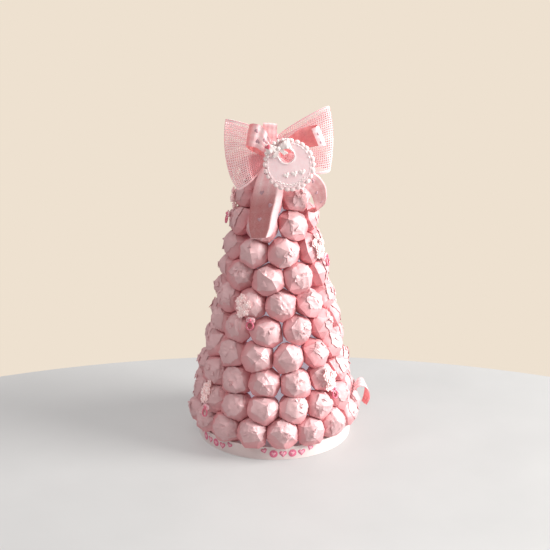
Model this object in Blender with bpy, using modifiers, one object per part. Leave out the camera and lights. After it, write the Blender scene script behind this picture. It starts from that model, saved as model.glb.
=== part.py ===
"""Chocolate tower: foil-wrapped chocolate balls in rings round a foam cone.

The cone stands on a round cake drum whose edge is wrapped in printed ribbon. On top sit a
bow of open net ribbon, a bow of satin ribbon with two tails and a round bib charm. Small
lace flowers, each with a pacifier charm, are pinned here and there on the balls.

Lengths are in metres and +Z is up. The front of the tower faces -Y, and the origin is the
centre of the drum's underside. Angles round the tower are in degrees from the front and
grow towards +X.
"""

import math
import random

import bmesh
import bpy
from mathutils import Matrix, Vector
from mathutils.bvhtree import BVHTree

MM = 0.001
GAP = 0.3 * MM  # kept between pieces that touch

# The drum and its ribbon
DRUM_RADIUS = 77.3 * MM
DRUM_HEIGHT = 14.0 * MM
DRUM_SEGMENTS = 44
RIBBON_EDGE = 0.6 * MM  # thickness of the ribbon round the drum
RIBBON_LIFT = 0.4 * MM  # its lower edge stands this far above the table

# The foam cone: its radius shrinks by CONE_TAPER for each unit of height
CONE_TAPER = 0.2145
CONE_RADIUS_AT_ZERO = 64.7 * MM
CONE_TOP = 283.5 * MM
CONE_SEGMENTS = 36

# The balls
BALL_RADIUS = 15.0 * MM  # to the corners of the foil
BALL_SEAT = 14.8 * MM  # from the cone's surface to a ball's centre, measured level
BALL_SPREAD = 0.035  # how much one ball's size differs from another's
BALL_RISE = 1.1 * MM  # a ball sits this much above or below its ring's height
BALL_SWAY = 0.8 * MM  # and this much to one side of its even place
BALL_LIFT = 0.8 * MM  # and at most this much further out
BALL_CREASE = 0.035  # how far the foil's corners stand in or out
BALL_TIP = 1.05  # the gathered tip of the foil stands out by this factor
BALL_LEAN = 0.25  # how far the tip may stand off the middle, of the radius
BALL_JOIN = 1.0 * MM  # overlap of neighbours pressed together in one ring
BALL_NEAR = 2.5 * BALL_RADIUS  # balls closer than this may press on each other
BALL_SIDES = 8
BALL_BANDS = 5
BALL_SEED = 20
# Each ring: height of its centres in mm, number of balls, angle of one of them, and how
# far the balls crowd towards the front, in radians at the sides
RINGS = (
    (28.0, 16, 5.5, 0.0),
    (50.5, 15, 15.0, 0.0),
    (76.0, 13, -8.0, 0.02),
    (101.0, 12, 14.0, 0.04),
    (127.5, 11, -8.0, 0.0),
    (152.5, 10, 7.0, 0.0),
    (178.0, 9, -8.0, 0.0),
    (203.0, 7, 15.0, 0.093),
    (229.0, 6, -23.5, 0.079),
    (253.5, 5, -18.0, 0.07),
    (278.0, 4, -25.0, 0.06),
)
TOP_BALL_HEIGHT = 297.6 * MM

# The bow of net ribbon: a lobe to each side of a gathered knot
NET_THICKNESS = 0.8 * MM
NET_KNOT = Vector((-2.0, -25.7, 304.0)) * MM
NET_KNOT_SIZE = Vector((9.0, 11.9, 9.0)) * MM
NET_DEPTH = 5.0 * MM  # half the depth of a lobe
NET_LEAN = 0.2  # below the knot a lobe stands further forward, by this much of its drop
NET_START = 5.5  # mm from the middle of the knot to where a lobe starts
NET_EASE = 0.175  # the back of a lobe is narrower than its front by this much each way
# Each lobe: its side, its reach at the lower edge, middle and upper edge, then for the
# lower and the upper edge the pinch at the knot, the flare, the flare's length, the slope
NET_LOBES = {
    "left": (-1, (34.0, 45.0, 44.8), (6.0, 3.5, 10.0, 0.79), (6.0, 10.0, 5.0, 0.335)),
    "right": (1, (55.6, 58.3, 54.2), (6.0, 13.5, 12.0, 0.0), (6.0, 5.6, 5.0, 0.59)),
}

# The satin ribbon. A route's rows hold, in mm, a point of the ribbon's middle line, the
# direction across the ribbon and the ribbon's width there.
SATIN_THICKNESS = 0.8 * MM
SATIN_KNOT = Vector((-0.5, -42.1, 304.0)) * MM
SATIN_KNOT_SIZE = Vector((8.0, 4.6, 8.0)) * MM
SATIN_LOOPS = (
    (
        (-3.0, -44.8, 306.0, 0.1, 0.1, 1.0, 12.0),
        (-7.0, -47.0, 315.0, 0.1, 0.1, 1.0, 19.0),
        (-14.0, -47.6, 322.5, 0.15, 0.05, 1.0, 22.5),
        (-21.0, -46.6, 324.5, 0.2, 0.05, 1.0, 22.0),
        (-25.0, -43.0, 323.5, 0.2, 0.0, 1.0, 21.5),
        (-22.5, -39.8, 320.5, 0.1, 0.0, 1.0, 21.0),
        (-14.0, -39.8, 313.5, 0.1, 0.0, 1.0, 15.5),
        (-3.0, -41.5, 305.0, 0.1, 0.0, 1.0, 10.0),
    ),
    (
        (4.0, -41.0, 306.0, 0.0, 0.0, 1.0, 10.0),
        (13.0, -40.5, 312.0, -0.1, 0.0, 1.0, 14.5),
        (23.0, -40.0, 318.0, -0.15, 0.0, 1.0, 18.5),
        (33.0, -39.5, 321.0, -0.25, 0.0, 0.97, 20.5),
        (41.0, -39.8, 322.5, -0.33, 0.0, 0.94, 21.0),
        (45.3, -42.2, 323.3, -0.35, 0.0, 0.94, 20.5),
        (43.2, -45.4, 322.8, -0.36, 0.0, 0.93, 20.0),
        (38.6, -46.2, 321.6, -0.38, 0.0, 0.92, 19.5),
    ),
    (
        (-2.5, -40.8, 307.0, 1.0, 0.0, 0.0, 8.0),
        (-4.5, -40.6, 319.0, 1.0, 0.0, 0.1, 13.0),
        (-4.2, -38.6, 332.5, 1.0, -0.1, 0.0, 13.5),
        (-3.8, -35.2, 331.0, 1.0, -0.2, -0.1, 12.5),
        (-3.0, -34.6, 320.0, 1.0, 0.0, 0.0, 9.0),
        (-1.5, -38.6, 308.0, 1.0, 0.0, 0.0, 7.0),
    ),
)
SATIN_TAILS = (
    (
        (-2.5, -42.8, 300.0, 1.0, -0.1, 0.1, 9.0),
        (-3.5, -44.2, 290.0, 1.0, -0.1, 0.1, 20.0),
        (-4.7, -44.6, 278.0, 1.0, -0.1, 0.05, 27.0),
        (-7.2, -44.2, 262.0, 1.0, -0.1, 0.0, 29.5),
        (-10.5, -44.2, 246.0, 1.0, -0.1, 0.0, 28.0),
        (-12.2, -45.4, 232.0, 1.0, -0.1, 0.0, 25.0),
        (-14.2, -45.8, 220.5, 1.0, -0.1, -0.1, 17.0),
    ),
    (
        (1.5, -42.3, 300.5, 0.6, 0.0, 0.8, 8.0),
        (10.0, -42.6, 293.0, 0.6, 0.0, 0.8, 12.0),
        (21.0, -42.4, 286.0, 0.5, 0.0, 0.87, 15.0),
        (34.0, -39.5, 278.0, 0.65, 0.1, 0.75, 17.0),
        (41.8, -34.5, 268.0, 0.85, 0.25, 0.45, 16.5),
        (44.3, -30.0, 256.5, 0.93, 0.37, 0.1, 14.0),
        (44.3, -23.0, 245.5, 0.5, 0.85, 0.1, 12.0),
        (39.5, -17.0, 241.5, 0.1, 1.0, 0.1, 12.0),
        (32.0, -14.0, 241.5, 0.0, 1.0, 0.1, 11.0),
    ),
)
TAIL_CUT = 0.07  # how much shorter a tail is at its slanting end

# The bib charm, a flat round plate with a neck hole, in front of the satin bow
BIB_RADIUS = 21.8 * MM  # sideways
BIB_TALL = 1.06  # it is this much longer up and down
BIB_THICKNESS = 3.4 * MM
BIB_BEVEL = 1.2 * MM  # the face is this much smaller than the back
BIB_PLACE = Vector((13.9, -51.0, 296.6)) * MM
BIB_TURN = math.radians(-15.0)
BIB_HOLE_RADIUS = 7.2 * MM
BIB_HOLE_UP = 9.9 * MM
BIB_HOLE_SEGMENTS = 20
BIB_SEGMENTS = 28
LACE_SCALLOPS = 22
LACE_WIDTH = 2.9 * MM
LACE_DEPTH = 3.4 * MM
LACE_SIDES = 4  # corners of the edge's section
LACE_NECK = 0.42  # half its width between two scallops, of LACE_WIDTH
LACE_DIP = 0.25  # how much thinner it is there
LACE_LAP = 0.2 * MM  # the corner of its section reaches this far inside the plate's rim
BIB_BOW_PLACE = Vector((-5.4, -4.4, 18.8)) * MM  # from the bib's middle, along the plate
BIB_BOW_KNOT = Vector((3.0, 2.2, 3.4)) * MM
BIB_BOW_LOOP = Vector((6.4, 1.9, 5.6)) * MM  # half of each side of one loop
BIB_BOW_LOOP_PLACE = Vector((6.0, 0.3, 0.6)) * MM

# The lace flowers, with a pacifier charm below each: angle and height in mm
TOPPINGS = (
    (-93.0, 251.0),
    (60.0, 210.0),
    (-31.0, 157.0),
    (45.0, 81.0),
    (-58.0, 62.0),
    (100.0, 150.0),
    (160.0, 215.0),
    (-140.0, 165.0),
    (170.0, 92.0),
)
FLOWER_RADIUS = 7.4 * MM
FLOWER_PETALS = 6
FLOWER_THICKNESS = 3.0 * MM
FLOWER_TAPER = 0.8  # its top is smaller than its underside by this factor
FLOWER_NOTCH = 0.72  # the rim between two petals comes in to this part of the radius
FLOWER_DOME = 0.8 * MM
CHARM_DROP = 15.5 * MM  # from a flower's middle down to its charm's
CHARM_SWAY = 7.0 * MM  # a charm hangs this far to the side of its flower
CHARM_SHIELD = Vector((5.0, 3.4, 1.6)) * MM
CHARM_RING_RADIUS = 3.6 * MM
CHARM_HANG = 0.7  # the ring's middle is this part of its radius below the shield's rim
CHARM_WIRE = 1.0 * MM

SETTLE_GAP = 0.45 * MM  # from a topping to the balls that it lies on
SETTLE_REACH = 80 * MM  # how far off a topping looks for the balls

# The little satin loop pinned low on the right
SIDE_LOOP = (
    (82.5, -12.0, 51.0, 0.0, -0.94, -0.3, 10.0),
    (87.0, -12.0, 56.5, 0.05, -0.94, -0.35, 12.5),
    (92.5, -12.0, 56.0, 0.15, -0.92, -0.35, 13.0),
    (96.0, -12.0, 48.5, 0.3, -0.92, -0.15, 13.0),
    (95.6, -12.0, 40.0, 0.4, -0.9, 0.0, 13.0),
    (93.2, -12.0, 33.0, 0.4, -0.9, 0.0, 11.0),
)


def clear_scene():
    for obj in list(bpy.data.objects):
        bpy.data.objects.remove(obj, do_unlink=True)


def add_collection(name, helper=False):
    collection = bpy.data.collections.new(name)
    bpy.context.scene.collection.children.link(collection)
    collection.hide_render = helper
    return collection


def add_material(name, colour, roughness, metallic=0.0):
    material = bpy.data.materials.new(name)
    material.use_nodes = True
    shader = material.node_tree.nodes["Principled BSDF"]
    shader.inputs["Base Color"].default_value = (*colour, 1.0)
    shader.inputs["Roughness"].default_value = roughness
    shader.inputs["Metallic"].default_value = metallic
    material.diffuse_color = (*colour, 1.0)
    return material


def add_mesh(name, bm, collection, material):
    """The bmesh as an object at the origin, with its normals facing out."""
    bmesh.ops.recalc_face_normals(bm, faces=bm.faces)
    mesh = bpy.data.meshes.new(name)
    bm.to_mesh(mesh)
    bm.free()
    if material:
        mesh.materials.append(material)
    obj = bpy.data.objects.new(name, mesh)
    collection.objects.link(obj)
    return obj


def apply_modifiers(obj):
    graph = bpy.context.evaluated_depsgraph_get()
    mesh = bpy.data.meshes.new_from_object(obj.evaluated_get(graph))
    obj.modifiers.clear()
    obj.data = mesh


def unite(name, items, collection, material):
    """One solid from overlapping ones: a Boolean union on a collection of helpers."""
    helpers = add_collection(name + "_pieces", helper=True)
    for item in items[1:]:
        for owner in list(item.users_collection):
            owner.objects.unlink(item)
        helpers.objects.link(item)
        item.hide_render = True
        item.display_type = "WIRE"
    whole = items[0]
    whole.name = name
    whole.data.name = name
    union = whole.modifiers.new("union", "BOOLEAN")
    union.operation = "UNION"
    union.solver = "EXACT"
    union.operand_type = "COLLECTION"
    union.collection = helpers
    apply_modifiers(whole)
    whole.data.materials.clear()
    whole.data.materials.append(material)
    for item in list(helpers.objects):
        bpy.data.objects.remove(item, do_unlink=True)
    bpy.data.collections.remove(helpers)
    return whole


def smooth(rows, t):
    """The point at t, from 0 to 1, of a Catmull-Rom curve through the rows."""
    spans = len(rows) - 1
    first = min(int(t * spans), spans - 1)
    f = t * spans - first
    a, b, c, d = (Vector(rows[min(max(first + k, 0), spans)]) for k in (-1, 0, 1, 2))
    bend = 2 * a - 5 * b + 4 * c - d
    return 0.5 * (2 * b + (c - a) * f + bend * f**2 + (3 * b - a - 3 * c + d) * f**3)


def add_sheet(name, place, along, across, thickness, collection, material):
    """A thin solid: a grid whose points place(u, v) puts in space, with a Solidify."""
    bm = bmesh.new()
    bmesh.ops.create_grid(bm, x_segments=along, y_segments=across, size=0.5)
    for vert in bm.verts:
        vert.co = place(vert.co.x + 0.5, vert.co.y + 0.5)
    bmesh.ops.triangulate(bm, faces=bm.faces)
    obj = add_mesh(name, bm, collection, material)
    solid = obj.modifiers.new("thickness", "SOLIDIFY")
    solid.thickness = thickness
    solid.offset = 0.0
    return obj


def place_on_route(route, cut=0.0):
    """place(u, v) for a ribbon along a route; cut slants its far end."""

    def place(u, v):
        row = smooth(route, u * (1 - cut * v))
        across = Vector(row[3:6]).normalized()
        return (Vector(row[:3]) + across * row[6] * (v - 0.5)) * MM

    return place


def around(angle):
    """The level directions out from the axis and sideways at an angle in radians."""
    outward = Vector((math.sin(angle), -math.cos(angle), 0))
    sideways = Vector((math.cos(angle), math.sin(angle), 0))
    return outward, sideways


def cone_frame(angle):
    """Unit vectors sideways, up along the cone, and square out of it."""
    level, sideways = around(angle)
    slope = math.atan(CONE_TAPER)
    out = level * math.cos(slope) + Vector((0, 0, math.sin(slope)))
    up = level * -math.sin(slope) + Vector((0, 0, math.cos(slope)))
    return sideways, up, out


class Ball:
    def __init__(self, ring, angle, height, seat, rng):
        self.ring = ring
        self.side, self.up, self.out = cone_frame(angle)
        level = around(angle)[0]
        self.centre = level * seat + Vector((0, 0, height))
        self.radius = BALL_RADIUS * (1 + rng.uniform(-1, 1) * BALL_SPREAD)
        self.rng = rng


def lay_out_balls():
    """Every ball of the rings, with seeded unevenness in place and size."""
    balls = []
    for ring, (height, count, phase, crowd) in enumerate(RINGS):
        for i in range(count):
            rng = random.Random(BALL_SEED + 100 * ring + i)
            level = height * MM + rng.uniform(-1, 1) * BALL_RISE
            seat = CONE_RADIUS_AT_ZERO - CONE_TAPER * level + BALL_SEAT
            seat += rng.uniform(0, 1) * BALL_LIFT
            sway = rng.uniform(-1, 1) * BALL_SWAY / seat
            angle = math.radians(phase + 360 * i / count)
            angle += sway - crowd * math.sin(angle)
            balls.append(Ball(ring, angle, level, seat, rng))
    return balls


def lay_out_top_ball():
    top = Ball(len(RINGS), 0.0, TOP_BALL_HEIGHT, 0.0, random.Random(BALL_SEED))
    top.side, top.up, top.out = Vector((1, 0, 0)), Vector((0, 1, 0)), Vector((0, 0, 1))
    return top


def limits_of(ball, balls):
    """Planes that a ball stays behind, as (normal, distance, whether it joins there)."""
    planes = []
    for other in balls:
        gap = other.centre - ball.centre
        if other is ball or gap.length > BALL_NEAR:
            continue
        in_ring = other.ring == ball.ring
        reach = gap.length / 2 + (BALL_JOIN / 2 if in_ring else -GAP / 2)
        planes.append((gap.normalized(), reach, in_ring))
    foam = -ball.out
    level = math.hypot(ball.centre.x, ball.centre.y)
    surface = CONE_RADIUS_AT_ZERO - CONE_TAPER * ball.centre.z
    planes.append((foam, (level - surface) * math.cos(math.atan(CONE_TAPER)) - GAP, False))
    planes.append((Vector((0, 0, -1)), ball.centre.z - DRUM_HEIGHT - GAP, False))
    return planes


def top_limits(ball, balls):
    planes = limits_of(ball, balls)[:-2]
    planes.append((Vector((0, 0, -1)), ball.centre.z - CONE_TOP - GAP, False))
    return planes


def add_ball(ball, planes, collection):
    """A faceted ball: flat where its neighbours press on it, with a gathered tip."""
    bm = bmesh.new()
    bmesh.ops.create_uvsphere(
        bm, u_segments=BALL_SIDES, v_segments=BALL_BANDS, radius=1.0
    )
    lean = Vector((ball.rng.uniform(-1, 1), ball.rng.uniform(-1, 1), 0)) * BALL_LEAN
    directions = {}
    for vert in bm.verts:
        local = vert.co + lean * max(0.0, vert.co.z)
        ray = ball.side * local.x + ball.up * local.y + ball.out * local.z
        factor = 1 + ball.rng.uniform(-1, 1) * BALL_CREASE
        if vert.co.z > 0.999:
            factor = BALL_TIP
        directions[vert] = [ray.normalized(), ball.radius * factor]
    for normal, reach, joins in planes:
        if joins:
            nearest = max(bm.verts, key=lambda v: directions[v][0].dot(normal))
            directions[nearest] = [normal.copy(), reach]
    for vert, (ray, length) in directions.items():
        for normal, reach, _ in planes:
            toward = ray.dot(normal)
            if toward > 0:
                length = min(length, reach / toward)
        vert.co = ball.centre + ray * length
    bmesh.ops.triangulate(bm, faces=bm.faces)
    return add_mesh("ball", bm, collection, None)


def add_rings(balls, collection, material):
    top = lay_out_top_ball()
    everyone = balls + [top]
    for ring in range(len(RINGS)):
        items = [
            add_ball(ball, limits_of(ball, everyone), collection)
            for ball in balls
            if ball.ring == ring
        ]
        unite(f"chocolate_ring_{ring + 1:02d}", items, collection, material)
    last = add_ball(top, top_limits(top, everyone), collection)
    last.name = last.data.name = "chocolate_top"
    last.data.materials.append(material)


def add_drum(collection, board, printed):
    bm = bmesh.new()
    bmesh.ops.create_cone(
        bm,
        cap_ends=True,
        segments=DRUM_SEGMENTS,
        radius1=DRUM_RADIUS,
        radius2=DRUM_RADIUS,
        depth=DRUM_HEIGHT,
        matrix=Matrix.Translation((0, 0, DRUM_HEIGHT / 2)),
    )
    add_mesh("cake_drum", bm, collection, board)

    inner = DRUM_RADIUS + GAP
    outer = inner + RIBBON_EDGE
    profile = [
        (outer, 0, DRUM_HEIGHT),
        (outer, 0, RIBBON_LIFT),
        (inner, 0, RIBBON_LIFT),
        (inner, 0, DRUM_HEIGHT),
    ]
    mesh = bpy.data.meshes.new("drum_ribbon")
    corners = len(profile)
    mesh.from_pydata(profile, [(i, (i + 1) % corners) for i in range(corners)], [])
    mesh.materials.append(printed)
    ribbon = bpy.data.objects.new("drum_ribbon", mesh)
    collection.objects.link(ribbon)
    turn = ribbon.modifiers.new("turn", "SCREW")
    turn.steps = turn.render_steps = DRUM_SEGMENTS
    turn.use_merge_vertices = True
    turn.merge_threshold = 0.00005
    turn.use_smooth_shade = False


def add_cone(collection, material):
    base = DRUM_HEIGHT + GAP
    bm = bmesh.new()
    bmesh.ops.create_cone(
        bm,
        cap_ends=True,
        segments=CONE_SEGMENTS,
        radius1=CONE_RADIUS_AT_ZERO - CONE_TAPER * base,
        radius2=CONE_RADIUS_AT_ZERO - CONE_TAPER * CONE_TOP,
        depth=CONE_TOP - base,
        matrix=Matrix.Translation((0, 0, (CONE_TOP + base) / 2)),
    )
    add_mesh("foam_cone", bm, collection, material)


def add_knot(name, place, size, collection, segments=10, rings=7):
    bm = bmesh.new()
    turned = Matrix.Translation(place) @ Matrix.Diagonal((*size, 1.0))
    bmesh.ops.create_uvsphere(
        bm, u_segments=segments, v_segments=rings, radius=1.0, matrix=turned
    )
    return add_mesh(name, bm, collection, None)


def net_edge(edge, out):
    """How far an edge of a net lobe stands from the knot's level, out from the knot."""
    pinch, flare, length, slope = edge
    return pinch + flare * (1 - math.exp(-out / length)) + slope * out


def place_on_lobe(lobe):
    """place(u, v) on one lobe of the net bow: u runs round the loop, v up its width."""
    side, (low, middle, high), lower, upper = lobe

    def place(u, v):
        across = 2 * v - 1
        bow = (high + low) / 2 - middle
        reach = middle + (high - low) / 2 * across + bow * across**2
        start = math.asin(NET_START / reach)
        turn = start + (math.pi - 2 * start) * u
        out = reach * math.sin(turn)
        wide = 1 + NET_EASE * math.cos(turn)
        bottom = -net_edge(lower, out) * wide
        height = bottom + (net_edge(upper, out) * wide - bottom) * v
        depth = NET_LEAN * min(0.0, height) * MM - NET_DEPTH * math.sin(2 * turn)
        return NET_KNOT + Vector((side * out * MM, depth, height * MM))

    return place


def add_net_bow(collection, material):
    pieces = [add_knot("net_knot", NET_KNOT, NET_KNOT_SIZE, collection)]
    for name, lobe in NET_LOBES.items():
        lobe_sheet = add_sheet(
            "net_" + name, place_on_lobe(lobe), 12, 4, NET_THICKNESS, collection, None
        )
        apply_modifiers(lobe_sheet)
        pieces.append(lobe_sheet)
    unite("net_bow", pieces, collection, material)


def add_satin_bow(collection, material):
    pieces = [add_knot("satin_knot", SATIN_KNOT, SATIN_KNOT_SIZE, collection, 10, 6)]
    places = [place_on_route(route) for route in SATIN_LOOPS]
    places += [place_on_route(route, TAIL_CUT) for route in SATIN_TAILS]
    for place in places:
        strip = add_sheet("satin", place, 9, 2, SATIN_THICKNESS, collection, None)
        apply_modifiers(strip)
        pieces.append(strip)
    unite("satin_bow", pieces, collection, material)


def add_side_loop(collection, material, balls_tree):
    place = place_on_route(SIDE_LOOP)
    loop = add_sheet("side_loop", place, 7, 2, SATIN_THICKNESS, collection, material)
    apply_modifiers(loop)
    settle(loop, Vector((-1, 0, 0)), balls_tree)


def bib_matrix():
    """From the plate's own frame, its face towards -Y, to the tower's."""
    return Matrix.Translation(BIB_PLACE) @ Matrix.Rotation(BIB_TURN, 4, "Y")


def add_bib(collection, plate, lace):
    standing = bib_matrix() @ Matrix.Rotation(math.pi / 2, 4, "X")
    bm = bmesh.new()
    bmesh.ops.create_cone(
        bm,
        cap_ends=True,
        segments=BIB_SEGMENTS,
        radius1=BIB_RADIUS,
        radius2=BIB_RADIUS - BIB_BEVEL,
        depth=BIB_THICKNESS,
        matrix=standing @ Matrix.Diagonal((1, BIB_TALL, 1, 1)),
    )
    bib = add_mesh("bib_charm", bm, collection, plate)
    cutters = add_collection("cutters", helper=True)
    bm = bmesh.new()
    bmesh.ops.create_cone(
        bm,
        cap_ends=True,
        segments=BIB_HOLE_SEGMENTS,
        radius1=BIB_HOLE_RADIUS,
        radius2=BIB_HOLE_RADIUS,
        depth=3 * BIB_THICKNESS,
        matrix=standing @ Matrix.Translation((0, BIB_HOLE_UP, 0)),
    )
    hole = add_mesh("neck_hole", bm, cutters, None)
    hole.hide_render = True
    hole.display_type = "WIRE"
    cut = bib.modifiers.new("neck", "BOOLEAN")
    cut.operation = "DIFFERENCE"
    cut.object = hole

    add_lace_edge(collection, lace)


def add_lace_edge(collection, lace):
    """The scalloped edge round the bib: a ring whose outer side swells at each bead."""
    steps = LACE_SCALLOPS * 2

    def place(i, j):
        turn = 2 * math.pi * i / steps
        side = 2 * math.pi * j / LACE_SIDES
        bead = (1 + math.cos(turn * LACE_SCALLOPS)) / 2
        half = LACE_WIDTH * (LACE_NECK + (0.5 - LACE_NECK) * bead)
        radius = BIB_RADIUS - LACE_LAP + half * (1 + math.cos(side))
        deep = LACE_DEPTH / 2 * (1 - LACE_DIP + LACE_DIP * bead) * math.sin(side)
        return Vector((radius * math.cos(turn), deep, BIB_TALL * radius * math.sin(turn)))

    bm = bmesh.new()
    rows = [
        [bm.verts.new(bib_matrix() @ place(i, j)) for j in range(LACE_SIDES)]
        for i in range(steps)
    ]
    for i, row in enumerate(rows):
        following = rows[(i + 1) % steps]
        for j in range(LACE_SIDES):
            k = (j + 1) % LACE_SIDES
            bm.faces.new((row[j], row[k], following[k], following[j]))
    bmesh.ops.triangulate(bm, faces=bm.faces)
    add_mesh("bib_lace_edge", bm, collection, lace)


def add_bib_bow(collection, material):
    """A tiny ribbon bow on the bib: two plump loops and a knot, joined."""
    middle = bib_matrix() @ BIB_BOW_PLACE
    pieces = [add_knot("bow_knot", middle, BIB_BOW_KNOT, collection, 6, 4)]
    for side in (-1, 1):
        place = middle + BIB_BOW_LOOP_PLACE * Vector((side, 1, 1))
        pieces.append(add_knot("bow_loop", place, BIB_BOW_LOOP, collection, 8, 4))
    unite("bib_bow", pieces, collection, material)


def balls_tree_of(collection):
    """A search tree over the faces of every ball that has been made."""
    points, faces = [], []
    for obj in collection.objects:
        if not obj.name.startswith("chocolate_"):
            continue
        first = len(points)
        points += [vert.co.copy() for vert in obj.data.vertices]
        faces += [[first + i for i in face.vertices] for face in obj.data.polygons]
    return BVHTree.FromPolygons(points, faces), points


def settle(obj, inward, balls_tree):
    """Moves a piece inward until it all but touches the balls."""
    tree, points = balls_tree
    mesh = obj.data
    own = BVHTree.FromPolygons(
        [vert.co for vert in mesh.vertices], [face.vertices[:] for face in mesh.polygons]
    )
    falls = [tree.ray_cast(vert.co, inward, SETTLE_REACH)[3] for vert in mesh.vertices]
    falls += [own.ray_cast(point, -inward, SETTLE_REACH)[3] for point in points]
    fall = min(f for f in falls if f is not None)
    mesh.transform(Matrix.Translation(inward * (fall - SETTLE_GAP)))


def topping_frame(angle, height):
    """A frame outside the balls: X sideways, Y up the cone, Z out."""
    side, up, out = cone_frame(angle)
    level = around(angle)[0]
    frame = Matrix((side, up, out)).transposed().to_4x4()
    radius = CONE_RADIUS_AT_ZERO - CONE_TAPER * height + 3 * BALL_RADIUS
    frame.translation = level * radius + Vector((0, 0, height))
    return frame


def add_flower(name, frame, collection, material):
    """A lace flower: a low domed disc whose rim runs in and out round the petals."""
    bm = bmesh.new()
    bmesh.ops.create_cone(
        bm,
        cap_ends=True,
        cap_tris=True,
        segments=2 * FLOWER_PETALS,
        radius1=FLOWER_RADIUS,
        radius2=FLOWER_RADIUS * FLOWER_TAPER,
        depth=FLOWER_THICKNESS,
        matrix=Matrix.Translation((0, 0, FLOWER_THICKNESS / 2)),
    )
    step = math.pi / FLOWER_PETALS
    for vert in bm.verts:
        if math.hypot(vert.co.x, vert.co.y) < 0.1 * FLOWER_RADIUS:
            vert.co.z += FLOWER_DOME if vert.co.z > 0 else 0.0
            continue
        if round(math.atan2(vert.co.y, vert.co.x) / step) % 2:
            vert.co.x *= FLOWER_NOTCH
            vert.co.y *= FLOWER_NOTCH
    bmesh.ops.transform(bm, matrix=frame, verts=bm.verts)
    return add_mesh(name, bm, collection, material)


def add_charm(name, frame, collection, material):
    """A pacifier charm: an oval shield with a ring hanging from it, joined."""
    drop = CHARM_SHIELD.y + CHARM_RING_RADIUS * CHARM_HANG
    lifted = frame @ Matrix.Translation((0, drop / 2, CHARM_SHIELD.z + GAP))
    bm = bmesh.new()
    oval = lifted @ Matrix.Diagonal((*CHARM_SHIELD, 1.0))
    bmesh.ops.create_uvsphere(bm, u_segments=8, v_segments=3, radius=1.0, matrix=oval)
    shield = add_mesh("shield", bm, collection, None)
    bpy.ops.mesh.primitive_torus_add(
        major_segments=8,
        minor_segments=3,
        major_radius=CHARM_RING_RADIUS,
        minor_radius=CHARM_WIRE,
    )
    ring = bpy.context.object
    ring.data.transform(lifted @ Matrix.Translation((0, -drop, 0)))
    return unite(name, [shield, ring], collection, material)


def add_toppings(collection, lace, plastic, balls_tree):
    for number, (degrees, height) in enumerate(TOPPINGS, start=1):
        angle = math.radians(degrees)
        level = height * MM
        flower = add_flower(
            f"lace_flower_{number:02d}", topping_frame(angle, level), collection, lace
        )
        settle(flower, -cone_frame(angle)[2], balls_tree)
        level -= CHARM_DROP
        angle += CHARM_SWAY / (CONE_RADIUS_AT_ZERO - CONE_TAPER * level + BALL_RADIUS)
        charm = add_charm(
            f"pacifier_charm_{number:02d}", topping_frame(angle, level), collection, plastic
        )
        settle(charm, -cone_frame(angle)[2], balls_tree)


def main():
    clear_scene()
    tower = add_collection("chocolate_tower")
    foil = add_material("pink foil paper", (0.72, 0.42, 0.43), 0.55)
    board = add_material("white board", (0.88, 0.86, 0.84), 0.6)
    printed = add_material("printed ribbon", (0.90, 0.84, 0.83), 0.45)
    foam = add_material("white foam", (0.80, 0.83, 0.88), 0.8)
    net = add_material("pink net ribbon", (0.85, 0.55, 0.58), 0.7)
    satin = add_material("pink satin", (0.80, 0.42, 0.45), 0.3)
    plate = add_material("pale pink resin", (0.87, 0.66, 0.66), 0.35)
    lace = add_material("white lace", (0.90, 0.82, 0.81), 0.7)
    plastic = add_material("pink plastic", (0.82, 0.34, 0.42), 0.25)

    balls = lay_out_balls()
    add_drum(tower, board, printed)
    add_cone(tower, foam)
    add_rings(balls, tower, foil)
    add_net_bow(tower, net)
    add_satin_bow(tower, satin)
    add_bib(tower, plate, lace)
    add_bib_bow(tower, lace)
    balls_tree = balls_tree_of(tower)
    add_side_loop(tower, satin, balls_tree)
    add_toppings(tower, lace, plastic, balls_tree)


main()
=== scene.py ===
"""Looks of the chocolate tower: foil-wrapped balls on a foam cone, with a bow, a bib and lace.

Lengths are in metres, +Z is up and the front faces -Y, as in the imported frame.
"""

import random
from math import asin, atan, copysign, cos, exp, hypot, pi, radians, sin, sqrt, tau

import bmesh
import bpy
import numpy as np
from mathutils import Matrix, Vector
from mathutils.bvhtree import BVHTree


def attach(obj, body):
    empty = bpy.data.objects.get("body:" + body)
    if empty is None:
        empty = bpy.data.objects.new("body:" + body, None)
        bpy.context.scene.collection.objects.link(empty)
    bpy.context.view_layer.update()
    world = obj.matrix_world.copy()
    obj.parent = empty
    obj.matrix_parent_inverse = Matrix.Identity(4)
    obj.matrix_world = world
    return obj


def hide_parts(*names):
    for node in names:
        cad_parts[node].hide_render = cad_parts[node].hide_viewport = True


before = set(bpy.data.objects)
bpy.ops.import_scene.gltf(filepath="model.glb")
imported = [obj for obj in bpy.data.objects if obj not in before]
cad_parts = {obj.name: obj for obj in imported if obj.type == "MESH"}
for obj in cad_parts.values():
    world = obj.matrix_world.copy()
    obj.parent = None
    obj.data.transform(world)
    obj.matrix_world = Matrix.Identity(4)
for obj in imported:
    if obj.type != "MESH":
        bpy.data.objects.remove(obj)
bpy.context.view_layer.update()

MM = 0.001
GAP = 0.3 * MM  # between a piece and the solid it lies on

# The drum, the ribbon round it and the foam cone
DRUM_RADIUS = 77.3 * MM
DRUM_HEIGHT = 14.0 * MM
RIBBON_EDGE = 0.6 * MM
RIBBON_LIFT = 0.4 * MM
CONE_TAPER = 0.2145
CONE_SLOPE = atan(CONE_TAPER)
CONE_RADIUS_AT_ZERO = 64.7 * MM
CONE_TOP = 283.5 * MM

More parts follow.
